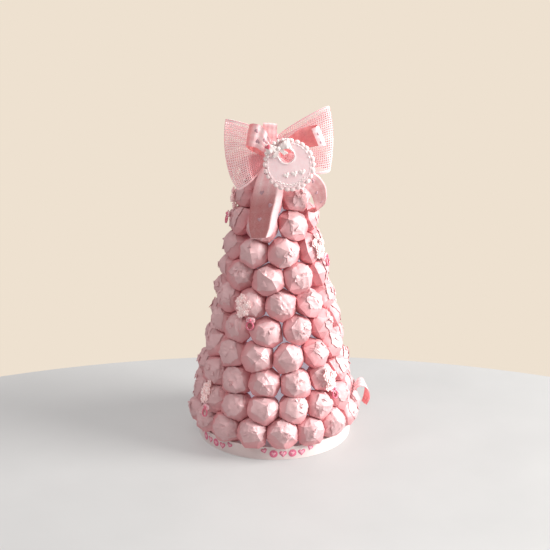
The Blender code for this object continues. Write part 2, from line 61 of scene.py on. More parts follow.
# The balls, laid out as their solids are. A ring has its height in mm, its number of balls,
# the turn of its first ball in degrees, and how far its balls crowd towards the front.
BALL_RADIUS = 15.0 * MM
BALL_SEAT = 14.8 * MM
BALL_SPREAD = 0.035
BALL_RISE = 1.1 * MM
BALL_SWAY = 0.8 * MM
BALL_LIFT = 0.8 * MM
BALL_NEAR = 2.5 * BALL_RADIUS
BALL_SEED = 20
RINGS = (
    (28, 16, 5.5, 0), (50.5, 15, 15, 0), (76, 13, -8, 0.02), (101, 12, 14, 0.04),
    (127.5, 11, -8, 0), (152.5, 10, 7, 0), (178, 9, -8, 0), (203, 7, 15, 0.093),
    (229, 6, -23.5, 0.079), (253.5, 5, -18, 0.07), (278, 4, -25, 0.06),
)
TOP_BALL_HEIGHT = 297.6 * MM


# ---------------------------------------------------------------- materials


def linear(r, g, b):
    """An sRGB colour of 0 to 255 as linear RGBA."""
    out = []
    for c in (r, g, b):
        c /= 255
        out.append(c / 12.92 if c <= 0.04045 else ((c + 0.055) / 1.055) ** 2.4)
    return (*out, 1.0)


def glow(strength, *colour):
    """Shader settings for a painted glow: a faint light of the surface's own, though it is no
    lamp.
    """
    return {"Emission_Strength": strength, "Emission_Color": linear(*colour)}


class Nodes:
    """A material's node tree, with short ways to add nodes and links.

    A value is a socket, a number or, in mix, an sRGB colour.
    """

    def __init__(self, name, roughness, **settings):
        self.material = bpy.data.materials.new(name)
        self.material.use_nodes = True
        self.tree = self.material.node_tree
        self.inputs = self.tree.nodes["Principled BSDF"].inputs
        self.inputs["Roughness"].default_value = roughness
        for key, value in settings.items():
            self.inputs[key.replace("_", " ")].default_value = value
        self.coords = self.add("ShaderNodeTexCoord").outputs["Object"]

    def put(self, socket, value):
        if isinstance(value, bpy.types.NodeSocket):
            self.tree.links.new(value, socket)
        else:
            socket.default_value = value

    def add(self, kind, *values, **settings):
        """A node; settings go to its fields or named sockets, values to its first sockets."""
        node = self.tree.nodes.new(kind)
        for key, value in settings.items():
            if hasattr(node, key):
                setattr(node, key, value)
            else:
                self.put(node.inputs[key.replace("_", " ")], value)
        for socket, value in zip(node.inputs, values):
            self.put(socket, value)
        return node

    def attribute(self, name, output="Fac"):
        return self.add("ShaderNodeAttribute", attribute_name=name).outputs[output]

    def ribbon(self):
        """The distance along, the place across and the face, from the attribute ribbon."""
        return self.add("ShaderNodeSeparateXYZ", self.attribute("ribbon", "Vector")).outputs

    def noise(self, scale, detail):
        values = {"Vector": self.coords, "Scale": scale, "Detail": detail, "Roughness": 0.55}
        return self.add("ShaderNodeTexNoise", **values).outputs["Fac"]

    def voronoi(self, scale, feature="F1"):
        values = {"feature": feature, "Vector": self.coords, "Scale": scale}
        return self.add("ShaderNodeTexVoronoi", **values).outputs["Distance"]

    def math(self, operation, *values):
        return self.add("ShaderNodeMath", *values, operation=operation).outputs[0]

    def ribs(self, distance, pitch):
        """A wave across ribs a pitch apart, in mm."""
        return self.math("SINE", self.math("MULTIPLY", distance, tau / (pitch * MM)))

    def remap(self, value, low, high, to_low=0.0, to_high=1.0):
        return self.add("ShaderNodeMapRange", value, low, high, to_low, to_high).outputs[0]

    def cloud(self, scale, detail, low=0.3, high=0.7):
        return self.remap(self.noise(scale, detail), low, high)

    def mix(self, factor, a, b):
        node = self.add("ShaderNodeMix", factor, data_type="RGBA")
        for socket, value in ((node.inputs[6], a), (node.inputs[7], b)):
            self.put(socket, linear(*value) if isinstance(value, tuple) else value)
        return node.outputs[2]

    def over(self, base, factor, share, colour):
        """A colour laid over the base where the factor is high, at most by the share."""
        return self.mix(self.math("MULTIPLY", factor, share), base, colour)

    def finish(self, colour, rough=None, bump=None):
        """The material with its colour, its roughness as a noise's scale, detail, low and
        high, and its bump as a height, a distance in mm and a strength."""
        self.put(self.inputs["Base Color"], colour)
        if rough:
            scale, detail, low, high = rough
            value = self.remap(self.noise(scale, detail), 0.3, 0.7, low, high)
            self.put(self.inputs["Roughness"], value)
        if bump:
            values = {"Height": bump[0], "Distance": bump[1] * MM, "Strength": bump[2]}
            node = self.add("ShaderNodeBump", **values)
            self.put(self.inputs["Normal"], node.outputs["Normal"])
        return self.material


def foil_material():
    """Pink foil-backed paper: a broad pearly sheen, crumpled, with painted shade that makes it
    redder and darker on the side band between the balls and under the cap and the flaps.
    """
    m = Nodes("foil_paper", 0.6, Specular_IOR_Level=1.0, IOR=2.0)
    base = m.mix(m.attribute("shade"), (200, 147, 150), (211, 162, 164))
    base = m.over(base, m.cloud(90, 4, 0.35), 0.35, (228, 174, 180))
    base = m.over(base, m.cloud(900, 2, 0.62, 0.75), 0.12, (190, 112, 124))
    # Painted shade: a deep red laid on by the mask from the geometry, strongest on the side band
    # towards the neighbouring balls and under the cap and the flaps.
    base = m.over(base, m.attribute("crease"), 0.78, (208, 90, 100))
    fine = m.remap(m.voronoi(420, "DISTANCE_TO_EDGE"), 0.0, 0.35)
    grain = m.math("MULTIPLY", m.noise(1400, 2), 0.25)
    return m.finish(base, (260, 3, 0.6, 0.74), (m.math("ADD", fine, grain), 0.1, 0.5))


def foam_material():
    """White expanded foam: small closed beads, with a bluish-white painted glow that lightens it
    where it shows in the gaps between the balls.
    """
    m = Nodes("bead_foam", 0.8, Specular_IOR_Level=0.3, **glow(0.38, 214, 226, 240))
    cell = m.voronoi(420)
    tone = m.mix(m.remap(cell, 0.0, 0.7), (240, 242, 250), (218, 224, 238))
    return m.finish(tone, bump=(m.math("MULTIPLY", cell, -1.0), 0.4, 0.7))


def board_material():
    """White embossed paper over the drum board."""
    m = Nodes("drum_paper", 0.55, Specular_IOR_Level=0.4)
    tone = m.mix(m.noise(60, 4), (238, 233, 230), (247, 243, 240))
    return m.finish(tone, bump=(m.voronoi(700), 0.08, 0.5))


def printed_ribbon_material():
    """Pale satin ribbon round the drum, with fine weft lines and a paler selvedge."""
    m = Nodes("drum_ribbon_satin", 0.38, Sheen_Weight=0.2)
    _, up, _ = m.ribbon()
    base = m.mix(m.noise(45, 3), (222, 203, 201), (231, 214, 212))
    edge = m.math("ABSOLUTE", m.math("SUBTRACT", up, 6.8 * MM))
    base = m.over(base, m.remap(edge, 6.0 * MM, 6.3 * MM), 0.6, (232, 220, 217))
    return m.finish(base, (300, 2, 0.32, 0.46), (m.ribs(up, 0.45), 0.03, 0.6))


def print_material(name, inner, outer):
    """Printed ink on the ribbon, slightly worn and uneven."""
    m = Nodes(name, 0.45, Specular_IOR_Level=0.4)
    tone = m.over(inner, m.cloud(700, 4, 0.45, 0.75), 0.5, outer)
    return m.finish(tone, bump=(m.noise(900, 2), 0.03, 0.4))


def satin_material():
    """Single-faced satin ribbon: glossy pale face, deeper pink reverse, fine ribs; painted gloss
    streaks, painted shade on the tails and the loops' turns, and a faint pink painted glow.
    """
    # Painted glow: a faint pink light that lightens the shaded insides of the loops.
    own = glow(0.14, 240, 130, 130)
    m = Nodes("pink_satin", 0.3, Specular_IOR_Level=0.8, Anisotropic=0.4, **own)
    along, across, face = m.ribbon()
    cloud = m.cloud(120, 3)
    pale = m.mix(cloud, (239, 198, 201), (247, 218, 219))
    # Painted highlight and shade: bands across the ribbon turn whiter on one slope of a sine and
    # deeper pink on the other, standing for gloss and shade on its folds.
    painted_streak = m.math("SINE", m.math("MULTIPLY_ADD", across, 21.0, 1.4))
    pale = m.mix(m.remap(painted_streak, 0.2, 1.0, 0.0, 0.35), pale, (255, 246, 246))
    pale = m.mix(m.remap(painted_streak, -0.4, -1.0, 0.0, 0.22), pale, (232, 164, 172))
    base = m.mix(face, m.mix(cloud, (234, 136, 140), (243, 160, 158)), pale)
    rim = m.remap(m.math("ABSOLUTE", across), 0.45, 0.485)
    base = m.over(base, rim, 0.5, (226, 150, 158))
    # Painted shade: where the shade attribute is high, on one side of a tail's ridge, the colour
    # goes to a dark red-brown.
    base = m.mix(m.attribute("shade"), base, (134, 66, 64))
    return m.finish(base, (200, 3, 0.22, 0.34), (m.ribs(along, 0.5), 0.02, 0.5))


def net_material():
    """Stiff gauze ribbon: matt pale pink yarn with a paler selvedge and a deeper hem; painted
    shade deepens its rear layer and its tucked fold, the knot is deep pink all over, and a faint
    painted glow lightens it.
    """
    soft = {"Subsurface_Weight": 0.3, "Subsurface_Radius": (1.0, 0.5, 0.5)}
    soft.update(Subsurface_Scale=1.0 * MM, Sheen_Weight=0.3, **glow(0.11, 246, 206, 203))
    m = Nodes("net_yarn", 0.65, Specular_IOR_Level=0.35, **soft)
    _, across, depth = m.ribbon()
    base = m.mix(m.cloud(140, 3), (243, 198, 201), (250, 218, 219))
    # Painted shade: the ribbon attribute's third value lays a deeper pink on the rear layer seen
    # through the holes and on the tucked fold.
    base = m.over(base, depth, 0.72, (206, 118, 130))
    edge = m.math("ABSOLUTE", across)
    base = m.over(base, m.remap(edge, 0.455, 0.47), 0.5, (250, 226, 226))
    base = m.over(base, m.math("COMPARE", edge, 0.49, 0.004), 0.7, (222, 120, 136))
    return m.finish(base, bump=(m.noise(1800, 2), 0.05, 0.6))


def resin_material():
    """Pale pink cast resin with a soft gloss and faint clouding, and a faint painted glow."""
    soft = {"Subsurface_Weight": 0.12, "Subsurface_Radius": (0.004, 0.002, 0.002)}
    m = Nodes("bib_resin", 0.34, **soft, **glow(0.07, 255, 212, 214))
    tone = m.mix(m.cloud(110, 4), (247, 213, 216), (251, 225, 227))
    return m.finish(tone, (320, 3, 0.28, 0.42), (m.noise(260, 3), 0.12, 0.35))


def lace_material(name, warm, pale, shine=0.0):
    """White cotton lace, a little pink in its folds; where shine isn't 0, a painted glow stands
    for light shining through thin petals.
    """
    own = glow(shine, 252, 212, 208)
    m = Nodes(name, 0.7, Specular_IOR_Level=0.3, Sheen_Weight=0.25, **own)
    return m.finish(m.mix(m.cloud(300, 4), warm, pale), bump=(m.noise(1500, 3), 0.08, 0.7))


def plastic_material(name, deep, pale):
    """Glossy moulded plastic, a little cloudy."""
    soft = {"Subsurface_Weight": 0.15, "Subsurface_Radius": (0.003, 0.001, 0.001)}
    m = Nodes(name, 0.2, Coat_Weight=0.3, **soft)
    return m.finish(m.mix(m.cloud(200, 3), deep, pale), (500, 2, 0.16, 0.28))


# ---------------------------------------------------------------- mesh helpers


def add_piece(name, points, faces, material, slot, nodes=(), values=None, smooth=True, sharp=0):
    """A mesh object from arrays, with point attributes from values.

    It rides on the tower and stands for CAD nodes. Edges bent by more than sharp degrees
    stay sharp, where sharp isn't 0.
    """
    mesh = bpy.data.meshes.new(name)
    mesh.from_pydata([tuple(p) for p in np.asarray(points, float)], [], faces)
    mesh.update()
    for key, value in (values or {}).items():
        value = np.asarray(value, np.float32)
        single = value.ndim == 1
        layer = mesh.attributes.new(key, "FLOAT" if single else "FLOAT_VECTOR", "POINT")
        layer.data.foreach_set("value" if single else "vector", value.ravel())
    mesh.polygons.foreach_set("use_smooth", [smooth] * len(mesh.polygons))
    if sharp:
        mesh.set_sharp_from_angle(angle=radians(sharp))
    mesh.materials.append(material)
    obj = bpy.data.objects.new(name, mesh)
    bpy.context.scene.collection.objects.link(obj)
    if nodes:
        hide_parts(*nodes)
    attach(obj, "root")
    return obj


class Parts:
    """Points, faces and point attributes gathered into one mesh."""

    def __init__(self):
        self.points, self.faces, self.values, self.count = [], [], {}, 0

    def add(self, points, faces, **values):
        points = np.asarray(points, float).reshape(-1, 3)
        self.faces += [tuple(self.count + i for i in face) for face in faces]
        self.points.append(points)
        for key, value in values.items():
            value = np.broadcast_to(np.asarray(value, float), len(points))
            self.values.setdefault(key, []).append(value)
        self.count += len(points)

    def build(self, name, material, slot, nodes=(), sharp=0):
        values = {key: np.concatenate(value) for key, value in self.values.items()}
        points = np.concatenate(self.points)
        return add_piece(name, points, self.faces, material, slot, nodes, values, sharp=sharp)


def turns(count):
    """Angles all the way round."""
    return [tau * k / count for k in range(count)]


def unit(v):
    v = np.asarray(v, float)
    return v / np.maximum(np.linalg.norm(v, axis=-1, keepdims=True), 1e-12)


def ease(value, low, high):
    t = np.clip((value - low) / (high - low), 0.0, 1.0)
    return t * t * (3 - 2 * t)


def run_along(line):
    """The distance along a line of points, from 0."""
    return np.concatenate([[0.0], np.cumsum(np.linalg.norm(np.diff(line, axis=0), axis=1))])


def grid_faces(rows, columns, closed_rows=False, closed_columns=False, first=0):
    """Quads of a grid of points stored row by row."""
    faces = []
    for i in range(rows if closed_rows else rows - 1):
        for j in range(columns if closed_columns else columns - 1):
            near, far = first + i * columns, first + (i + 1) % rows * columns
            n = (j + 1) % columns
            faces.append((near + j, near + n, far + n, far + j))
    return faces


def quads_turned(faces):
    return [tuple(reversed(f)) if len(f) == 4 else f for f in faces]


def tube(line, radius, sides=8, closed=False):
    """Points and faces of a round tube along a line of points."""
    line = np.asarray(line, float)
    ahead = np.roll(line, -1, 0) - np.roll(line, 1, 0)
    if not closed:
        ahead[0], ahead[-1] = line[1] - line[0], line[-1] - line[-2]
    ahead = unit(ahead)
    up = np.array((0.0, 0.0, 1.0) if abs(ahead[0][2]) < 0.9 else (1.0, 0.0, 0.0))
    points = []
    for place, way, size in zip(line, ahead, np.broadcast_to(radius, len(line))):
        up = up - way * up.dot(way)
        up /= np.linalg.norm(up)
        side = np.cross(way, up)
        points += [place + size * (cos(a) * side + sin(a) * up) for a in turns(sides)]
    faces = grid_faces(len(line), sides, closed, True)
    if not closed:
        faces.append(tuple(reversed(range(sides))))
        faces.append(tuple((len(line) - 1) * sides + k for k in range(sides)))
    return np.array(points), faces


def ellipsoid(centre, size, columns, rows):
    """Points and faces of an ellipsoid; size is a matrix or three half axes."""
    points = [(0.0, 0.0, 1.0)]
    for i in range(1, rows):
        t = pi * i / rows
        points += [(sin(t) * cos(a), sin(t) * sin(a), cos(t)) for a in turns(columns)]
    points.append((0.0, 0.0, -1.0))
    last, low = len(points) - 1, 1 + (rows - 2) * columns
    faces = [(0, 1 + j, 1 + (j + 1) % columns) for j in range(columns)]
    faces += quads_turned(grid_faces(rows - 1, columns, closed_columns=True, first=1))
    faces += [(last, low + (j + 1) % columns, low + j) for j in range(columns)]
    size = np.asarray(size, float)
    size = np.diag(size) if size.ndim == 1 else size
    return np.array(points) @ size.T + np.asarray(centre, float), faces


def smooth_row(rows, t):
    """The row at t, from 0 to 1, of a Catmull-Rom curve through the rows."""
    spans = len(rows) - 1
    first = min(int(t * spans), spans - 1)
    f = t * spans - first
    near = [rows[min(max(first + k, 0), spans)] for k in (-1, 0, 1, 2)]
    a, b, c, d = np.array(near, float)
    bend = 2 * a - 5 * b + 4 * c - d
    return 0.5 * (2 * b + (c - a) * f + bend * f**2 + (3 * b - a - 3 * c + d) * f**3)


def sheet_mesh(middle, thickness, along=0.0, across=0.0):
    """A closed thin sheet round a grid of points; gives points, faces and attributes.

    The attribute holds the distance along, the place across from -0.5 to 0.5, and 1 on
    the face or 0 on the reverse.
    """
    rows, columns, _ = middle.shape
    size = rows * columns
    normal = unit(np.cross(np.gradient(middle, axis=0), np.gradient(middle, axis=1)))
    sides = [middle + normal * thickness / 2, middle - normal * thickness / 2]
    points = np.concatenate([side.reshape(-1, 3) for side in sides])
    faces = grid_faces(rows, columns)
    faces += [tuple(size + i for i in reversed(f)) for f in faces]
    rim = list(range(columns))
    rim += [i * columns + columns - 1 for i in range(1, rows)]
    rim += [(rows - 1) * columns + j for j in range(columns - 2, -1, -1)]
    rim += [i * columns for i in range(rows - 2, 0, -1)]
    faces += [(b, a, size + a, size + b) for a, b in zip(rim, rim[1:] + rim[:1])]
    ribbon = np.zeros((2 * size, 3))
    for half in (ribbon[:size], ribbon[size:]):
        half[:, 0], half[:, 1] = along, across
    ribbon[:size, 2] = 1.0
    return points, faces, ribbon


# ---------------------------------------------------------------- the balls

CORE = 0.93  # the sweet inside, in ball radii
CAP_CELLS = 7  # each facet of the cap is cut into this many rows of small triangles
BODY_CELLS = 4
FOIL_SHARP = 19  # degrees
FOIL_STEP = 0.02  # how far the cap stands off the foil under it, in ball radii
FOIL_THICK = 0.013
FLAP_THICKNESS = 0.2 * MM
# Sharp ridges all over the foil: how many, their lowest and highest pitch, and their height
CRUMPLES = ((3, 3, 6, 0.014), (5, 7, 12, 0.015), (5, 15, 26, 0.008))
# Ranges of a flap's tilt from the tip, length, width, heading and lift
FLAP = ((0.1, 0.5), (0.3, 0.6), (0.3, 0.6), (-1.3, 1.3), (0.02, 0.05))
TUFT = ((0.05, 0.3), (0.16, 0.36), (0.14, 0.3), (0, tau), (0.04, 0.11))


def around(angle):
    """Level unit vectors outward and sideways at an angle from the front."""
    return Vector((sin(angle), -cos(angle), 0)), Vector((cos(angle), sin(angle), 0))


def cone_radius(height):
    return CONE_RADIUS_AT_ZERO - CONE_TAPER * height


def cone_frame(angle):
    """Unit vectors sideways, up along the cone, and square out of it."""
    level, sideways = around(angle)
    out = level * cos(CONE_SLOPE) + Vector((0, 0, sin(CONE_SLOPE)))
    up = level * -sin(CONE_SLOPE) + Vector((0, 0, cos(CONE_SLOPE)))
    return sideways, up, out


class Ball:
    def __init__(self, ring, angle, height, seat, rng):
        self.ring, self.rng = ring, rng
        self.side, self.up, self.out = cone_frame(angle)
        self.centre = around(angle)[0] * seat + Vector((0, 0, height))
        self.radius = BALL_RADIUS * (1 + rng.uniform(-1, 1) * BALL_SPREAD)


def lay_out_balls():
    """All the balls, ring by ring; the top one counts as a last ring."""
    balls = []
    for ring, (height, count, phase, crowd) in enumerate(RINGS):
        for i in range(count):
            rng = random.Random(BALL_SEED + 100 * ring + i)
            level = height * MM + rng.uniform(-1, 1) * BALL_RISE
            seat = cone_radius(level) + BALL_SEAT
            seat += rng.uniform(0, 1) * BALL_LIFT
            sway = rng.uniform(-1, 1) * BALL_SWAY / seat
            angle = radians(phase + 360 * i / count)
            angle += sway - crowd * sin(angle)
            balls.append(Ball(ring, angle, level, seat, rng))
    top = Ball(len(RINGS), 0.0, TOP_BALL_HEIGHT, 0.0, random.Random(BALL_SEED))
    top.side, top.up, top.out = Vector((1, 0, 0)), Vector((0, 1, 0)), Vector((0, 0, 1))
    return balls + [top]


def limits_of(ball, balls):
    """Planes that a ball stays behind, as (normal, distance)."""
    planes = []
    for other in balls:
        gap = other.centre - ball.centre
        if other is not ball and gap.length <= BALL_NEAR:
            planes.append((gap.normalized(), gap.length / 2 - 0.05 * MM))
    if ball.ring == len(RINGS):
        return planes + [(Vector((0, 0, -1)), ball.centre.z - CONE_TOP - GAP)]
    off_cone = hypot(ball.centre.x, ball.centre.y) - cone_radius(ball.centre.z)
    planes.append((-ball.out, off_cone * cos(CONE_SLOPE) - GAP))
    return planes + [(Vector((0, 0, -1)), ball.centre.z - DRUM_HEIGHT - GAP)]


def hull_triangles(points):
    """Corner numbers of the triangles of the points' convex hull, facing out."""
    bm = bmesh.new()
    verts = [bm.verts.new(p) for p in points]
    index = {vert: i for i, vert in enumerate(verts)}
    made = bmesh.ops.convex_hull(bm, input=verts)["geom"]
    triangles = [[index[v] for v in f.verts] for f in made if isinstance(f, bmesh.types.BMFace)]
    bm.free()
    out = []
    for a, b, c in triangles:
        way = np.cross(points[b] - points[a], points[c] - points[a])
        out.append((a, b, c) if way @ (points[a] - points.mean(axis=0)) > 0 else (a, c, b))
    return out


def refine(points, triangles, cells):
    """Cuts each triangle into cells x cells small ones.

    Gives the weights of the old points at each new point, and the new triangles.
    """
    found, faces, weights = {}, [], []

    def corner(triangle, i, j):
        share = (cells - i - j, i, j)
        key = tuple(sorted((triangle[k], share[k]) for k in range(3) if share[k]))
        if key not in found:
            found[key] = len(weights)
            row = np.zeros(len(points))
            for vert, part in key:
                row[vert] = part / cells
            weights.append(row)
        return found[key]

    for triangle in triangles:
        for i in range(cells):
            for j in range(cells - i):
                a, b, c = (corner(triangle, *at) for at in ((i, j), (i + 1, j), (i, j + 1)))
                faces.append((a, b, c))
                if i + j < cells - 1:
                    faces.append((b, corner(triangle, i + 1, j + 1), c))
    return np.array(weights), faces


def open_edges(faces):
    """Directed edges that belong to one face only."""
    edges = {(a, b) for face in faces for a, b in zip(face, face[1:] + face[:1])}
    return sorted((a, b) for a, b in edges if (b, a) not in edges)


def soft_max(a, b, sharp):
    return np.maximum(a, b) + np.log(1 + np.exp(-sharp * np.abs(a - b))) / sharp


class Foil:
    """One ball's wrapper, in ball radii: a cap of flat facets folded over a rounder body."""

    def __init__(self, ball, planes):
        rng = self.rng = ball.rng
        self.ball = ball
        lean = Vector((rng.uniform(-0.05, 0.5), rng.uniform(-0.1, 0.45), 0))
        self.tip = np.array((ball.side * lean.x + ball.up * lean.y + ball.out).normalized())
        self.beside = unit(np.cross(np.array(ball.up), self.tip))
        self.over = np.cross(self.tip, self.beside)
        self.normals = np.array([tuple(n) for n, _ in planes])
        self.reaches = np.array([d for _, d in planes]) / ball.radius
        size = rng.uniform(0.7, 1.3)
        self.waves = []
        for count, low, high, height in CRUMPLES:
            for _ in range(count):
                way = unit([rng.gauss(0, 1) for _ in range(3)]) * rng.uniform(low, high)
                self.waves.append((way, rng.uniform(0, tau), height * size))
        self.shade = rng.uniform(0, 1)
        self.soft = rng.choice((0.0, 0.05, 0.15, 0.3))
        self.lay_out()
        self.make_body()
        self.make_cap()

    def direction(self, turn, tilt):
        level = np.multiply.outer(np.cos(turn), self.beside)
        level = level + np.multiply.outer(np.sin(turn), self.over)
        return np.sin(tilt)[..., None] * level + np.cos(tilt)[..., None] * self.tip

    def tilt_of(self, rays):
        return np.arccos(np.clip(rays @ self.tip, -1, 1))

    def crumple(self, rays):
        total = np.zeros(rays.shape[:-1])
        for way, start, height in self.waves:
            total -= height * (np.abs(np.sin(rays @ way + start)) - 0.4)
        return total

    def within(self, rays, radius):
        """Keeps the surface on its own side of the planes to its neighbours."""
        toward = rays @ self.normals.T
        limits = np.where(toward > 0.1, self.reaches / np.maximum(toward, 0.1), 4.0)
        return -soft_max(-radius, -limits.min(axis=-1), 80)

    def ring(self, count, tilt, spread, low=1.02, high=1.1):
        """Points round the tip at a tilt, each a little out of place."""
        rng = self.rng
        start = rng.uniform(0, tau)
        turn = [start + tau * (i + rng.uniform(-0.28, 0.28)) / count for i in range(count)]
        tilts = [rng.uniform(tilt - spread, tilt + spread) for _ in range(count)]
        sizes = [rng.uniform(low, high) for _ in range(count)]
        return self.direction(np.array(turn), np.array(tilts)) * np.array(sizes)[:, None]

    def lay_out(self):
        """Corners of the facets: a few near the tip, the cap's border, and the sides."""
        self.inner = self.ring(self.rng.choice((2, 3, 4)), 0.38, 0.26)
        self.border = self.ring(self.rng.choice((5, 6, 6, 7)), 1.0, 0.2)
        sides = [self.ring(9, 1.5, 0.1, 1.18, 1.32), self.ring(9, 1.95, 0.15, 1.1, 1.2)]
        sides += [self.ring(6, 2.5, 0.1, 0.95, 1.0), -self.tip[None]]
        self.corners = np.concatenate([self.inner, self.border] + sides)

    def shaped(self, points, lift):
        """Moves points of the facets to the crumpled surface."""
        radius = np.linalg.norm(points, axis=1)
        rays = points / radius[:, None]
        soft = self.soft * (1 - ease(self.tilt_of(rays), 0.9, 1.4))
        radius = soft_max(radius, CORE, 45) * (1 - soft) + 1.05 * soft
        radius = radius + self.crumple(rays) + lift
        return rays * self.within(rays, radius)[:, None]

    def make_body(self):
        weights, self.faces = refine(self.corners, hull_triangles(self.corners), BODY_CELLS)
        self.points = self.shaped(weights @ self.corners, -FOIL_STEP)
        # Painted shade: the body is marked about half everywhere and nearly fully on its side band
        # towards the neighbouring balls.
        self.body_painted_shade = 0.45 + 0.5 * ease(self.tilt_of(unit(self.points)), 1.0, 1.6)

    def make_cap(self):
        """A sheet over the facets round the tip, with a ragged edge lifted here and there."""
        rng = self.rng
        corners = np.concatenate([self.inner, self.border, [-0.4 * self.tip]])
        last = len(corners) - 1
        triangles = [t for t in hull_triangles(corners) if last not in t]
        weights, faces = refine(corners, triangles, CAP_CELLS)
        middle = weights @ corners
        border = weights[:, len(self.inner) : last]
        lifts = [rng.choice((0.0, 0.005, 0.015, 0.035)) for _ in self.border]
        lift = border @ np.array(lifts) * border.sum(axis=1) ** 2
        rim = open_edges(faces)
        follow = dict(rim)
        at, order = rim[0][0], []
        while at not in order:
            order.append(at)
            at = follow[at]
        wander = 0.0
        for vert in order:
            wander = 0.6 * wander + rng.uniform(-0.05, 0.05)
            level = middle[vert] - self.tip * middle[vert].dot(self.tip)
            middle[vert] = middle[vert] + unit(level) * wander - self.tip * 0.4 * wander
        count = len(middle)
        top, below = self.shaped(middle, lift + FOIL_THICK), self.shaped(middle, lift)
        self.cap = np.concatenate([top, below])
        self.cap_faces = faces + [tuple(count + i for i in reversed(face)) for face in faces]
        self.cap_faces += [(b, a, count + a, count + b) for a, b in rim]
        # Painted shade: the cap's underside is marked fully, its top not at all.
        self.cap_painted_shade = np.repeat((0.0, 1.0), count)
        self.tree = BVHTree.FromPolygons(self.cap.tolist(), self.cap_faces)

    def radius(self, rays):
        """How far out the cap is along rays from the centre."""
        found = [self.tree.ray_cast(Vector(ray) * 3, -Vector(ray))[0] for ray in rays]
        return np.array([1.0 if place is None else place.length for place in found])

    def placed(self, points):
        return np.array(self.ball.centre) + points * self.ball.radius


def wrap_ball(ball, planes, parts):
    """Adds one wrapped ball, its loose flaps and sometimes a foil tuft."""
    foil = Foil(ball, planes)
    rng = foil.rng
    parts.add(foil.placed(foil.points), foil.faces, crease=foil.body_painted_shade, shade=foil.shade)
    parts.add(foil.placed(foil.cap), foil.cap_faces, crease=foil.cap_painted_shade, shade=foil.shade)
    start = rng.uniform(0, tau)
    count = rng.choice((1, 1, 2, 3))
    for i in range(count):
        turn = start + tau * (i + rng.uniform(-0.3, 0.3)) / count
        add_flap(foil, parts, turn, turn, FLAP)
    turn = rng.uniform(0, tau)
    for _ in range(rng.choice((0, 0, 1, 2, 3, 5))):
        add_flap(foil, parts, turn, 0.0, TUFT)


def add_flap(foil, parts, turn, heading, ranges):
    """A corner of foil folded over the surface: rooted in it, with its tip lifted."""
    rng = foil.rng
    tilt, length, width, swing, lift = (rng.uniform(*span) for span in ranges)
    heading += swing
    rows, columns = 8, 7
    root = foil.direction(np.array(turn), np.array(tilt))
    level = cos(heading) * foil.beside + sin(heading) * foil.over
    ahead = unit(level - root * level.dot(root))
    beside = np.cross(root, ahead)
    skew, bend = rng.uniform(-0.35, 0.35), rng.uniform(-0.25, 0.25)
    s = np.linspace(0, 1, rows)[:, None]
    v = np.linspace(-0.5, 0.5, columns)[None, :]
    out = length * s + bend * length * v * (1 - s)
    aside = width * (1 - 0.86 * s**1.3) * v + skew * length * s
    rays = unit(root + out[..., None] * ahead + aside[..., None] * beside).reshape(-1, 3)
    curl = 0.012 * (np.abs(v) * 2) ** 2 * ease(s, 0.1, 0.5)
    rise = -0.02 + 0.034 * ease(s, 0.0, 0.25) + lift * s**1.5 + curl
    rise = rise + 0.006 * np.sin(7 * v + 5 * s + 6 * skew)
    middle = foil.placed(rays * (foil.radius(rays) + rise.ravel())[:, None])
    points, faces, _ = sheet_mesh(middle.reshape(rows, columns, 3), FLAP_THICKNESS)
    # Painted shade: the flap's underside is marked fully, its top not at all.
    crease = np.repeat((0.0, 1.0), rows * columns)
    parts.add(points, faces, crease=crease, shade=foil.shade)


def add_balls(material):
    balls = lay_out_balls()
    names = [f"chocolate_ring_{ring + 1:02d}" for ring in range(len(RINGS))] + ["chocolate_top"]
    made = []
    for ring, name in enumerate(names):
        parts = Parts()
        for ball in balls:
            if ball.ring == ring:
                wrap_ball(ball, limits_of(ball, balls), parts)
        made.append(parts.build("wrapped_" + name, material, "foil_paper", [name], FOIL_SHARP))
    return made


# ---------------------------------------------------------------- base


def on_round(radius, angle, z):
    return (radius * sin(angle), -radius * cos(angle), z)


def lathe(profile, segments):
    """Points and faces of a closed profile of (radius, height) turned about Z."""
    points = [on_round(r, a, z) for a in turns(segments) for r, z in profile]
    return np.array(points), grid_faces(segments, len(profile), True, True)


def add_base(board, ribbon, foam):
    profile = [(0.5 * MM, 0.0), (DRUM_RADIUS - 0.6 * MM, 0.0), (DRUM_RADIUS, 0.6 * MM)]
    for inward, down in ((0.0, 0.8), (0.25, 0.25), (0.8, 0.0)):
        profile.append((DRUM_RADIUS - inward * MM, DRUM_HEIGHT - down * MM))
    profile.append((0.5 * MM, DRUM_HEIGHT))
    points, faces = lathe(profile, 160)
    add_piece("drum_board", points, faces, board, "drum_board", ["cake_drum"], smooth=False)

    inner, outer = DRUM_RADIUS + 0.15 * MM, DRUM_RADIUS + GAP + RIBBON_EDGE
    tall = DRUM_HEIGHT + 0.2 * MM - RIBBON_LIFT
    rows, segments = 9, 240
    points, values = [], []
    for a in turns(segments):
        for face in (1.0, 0.0):
            for j in range(rows) if face else reversed(range(rows)):
                z = RIBBON_LIFT + tall * j / (rows - 1)
                wave = 0.12 * MM * sin(5 * a + 0.3) * (j / (rows - 1)) ** 2
                points.append(on_round(outer + wave if face else inner, a, z))
                values.append((DRUM_RADIUS * a, z, face))
    faces = grid_faces(segments, 2 * rows, True, True)
    name, node, values = "drum_ribbon_band", "drum_ribbon", {"ribbon": values}
    add_piece(name, points, faces, ribbon, "printed_ribbon", [node], values, sharp=40)

    low, steps = DRUM_HEIGHT + GAP, 40
    heights = [low + (CONE_TOP - low) * i / steps for i in range(steps + 1)]
    side = [(cone_radius(z), z) for z in heights]
    points, faces = lathe([(0.3 * MM, low), *side, (0.3 * MM, CONE_TOP)], 96)
    add_piece("foam_core", points, faces, foam, "foam", ["foam_cone"], sharp=40)


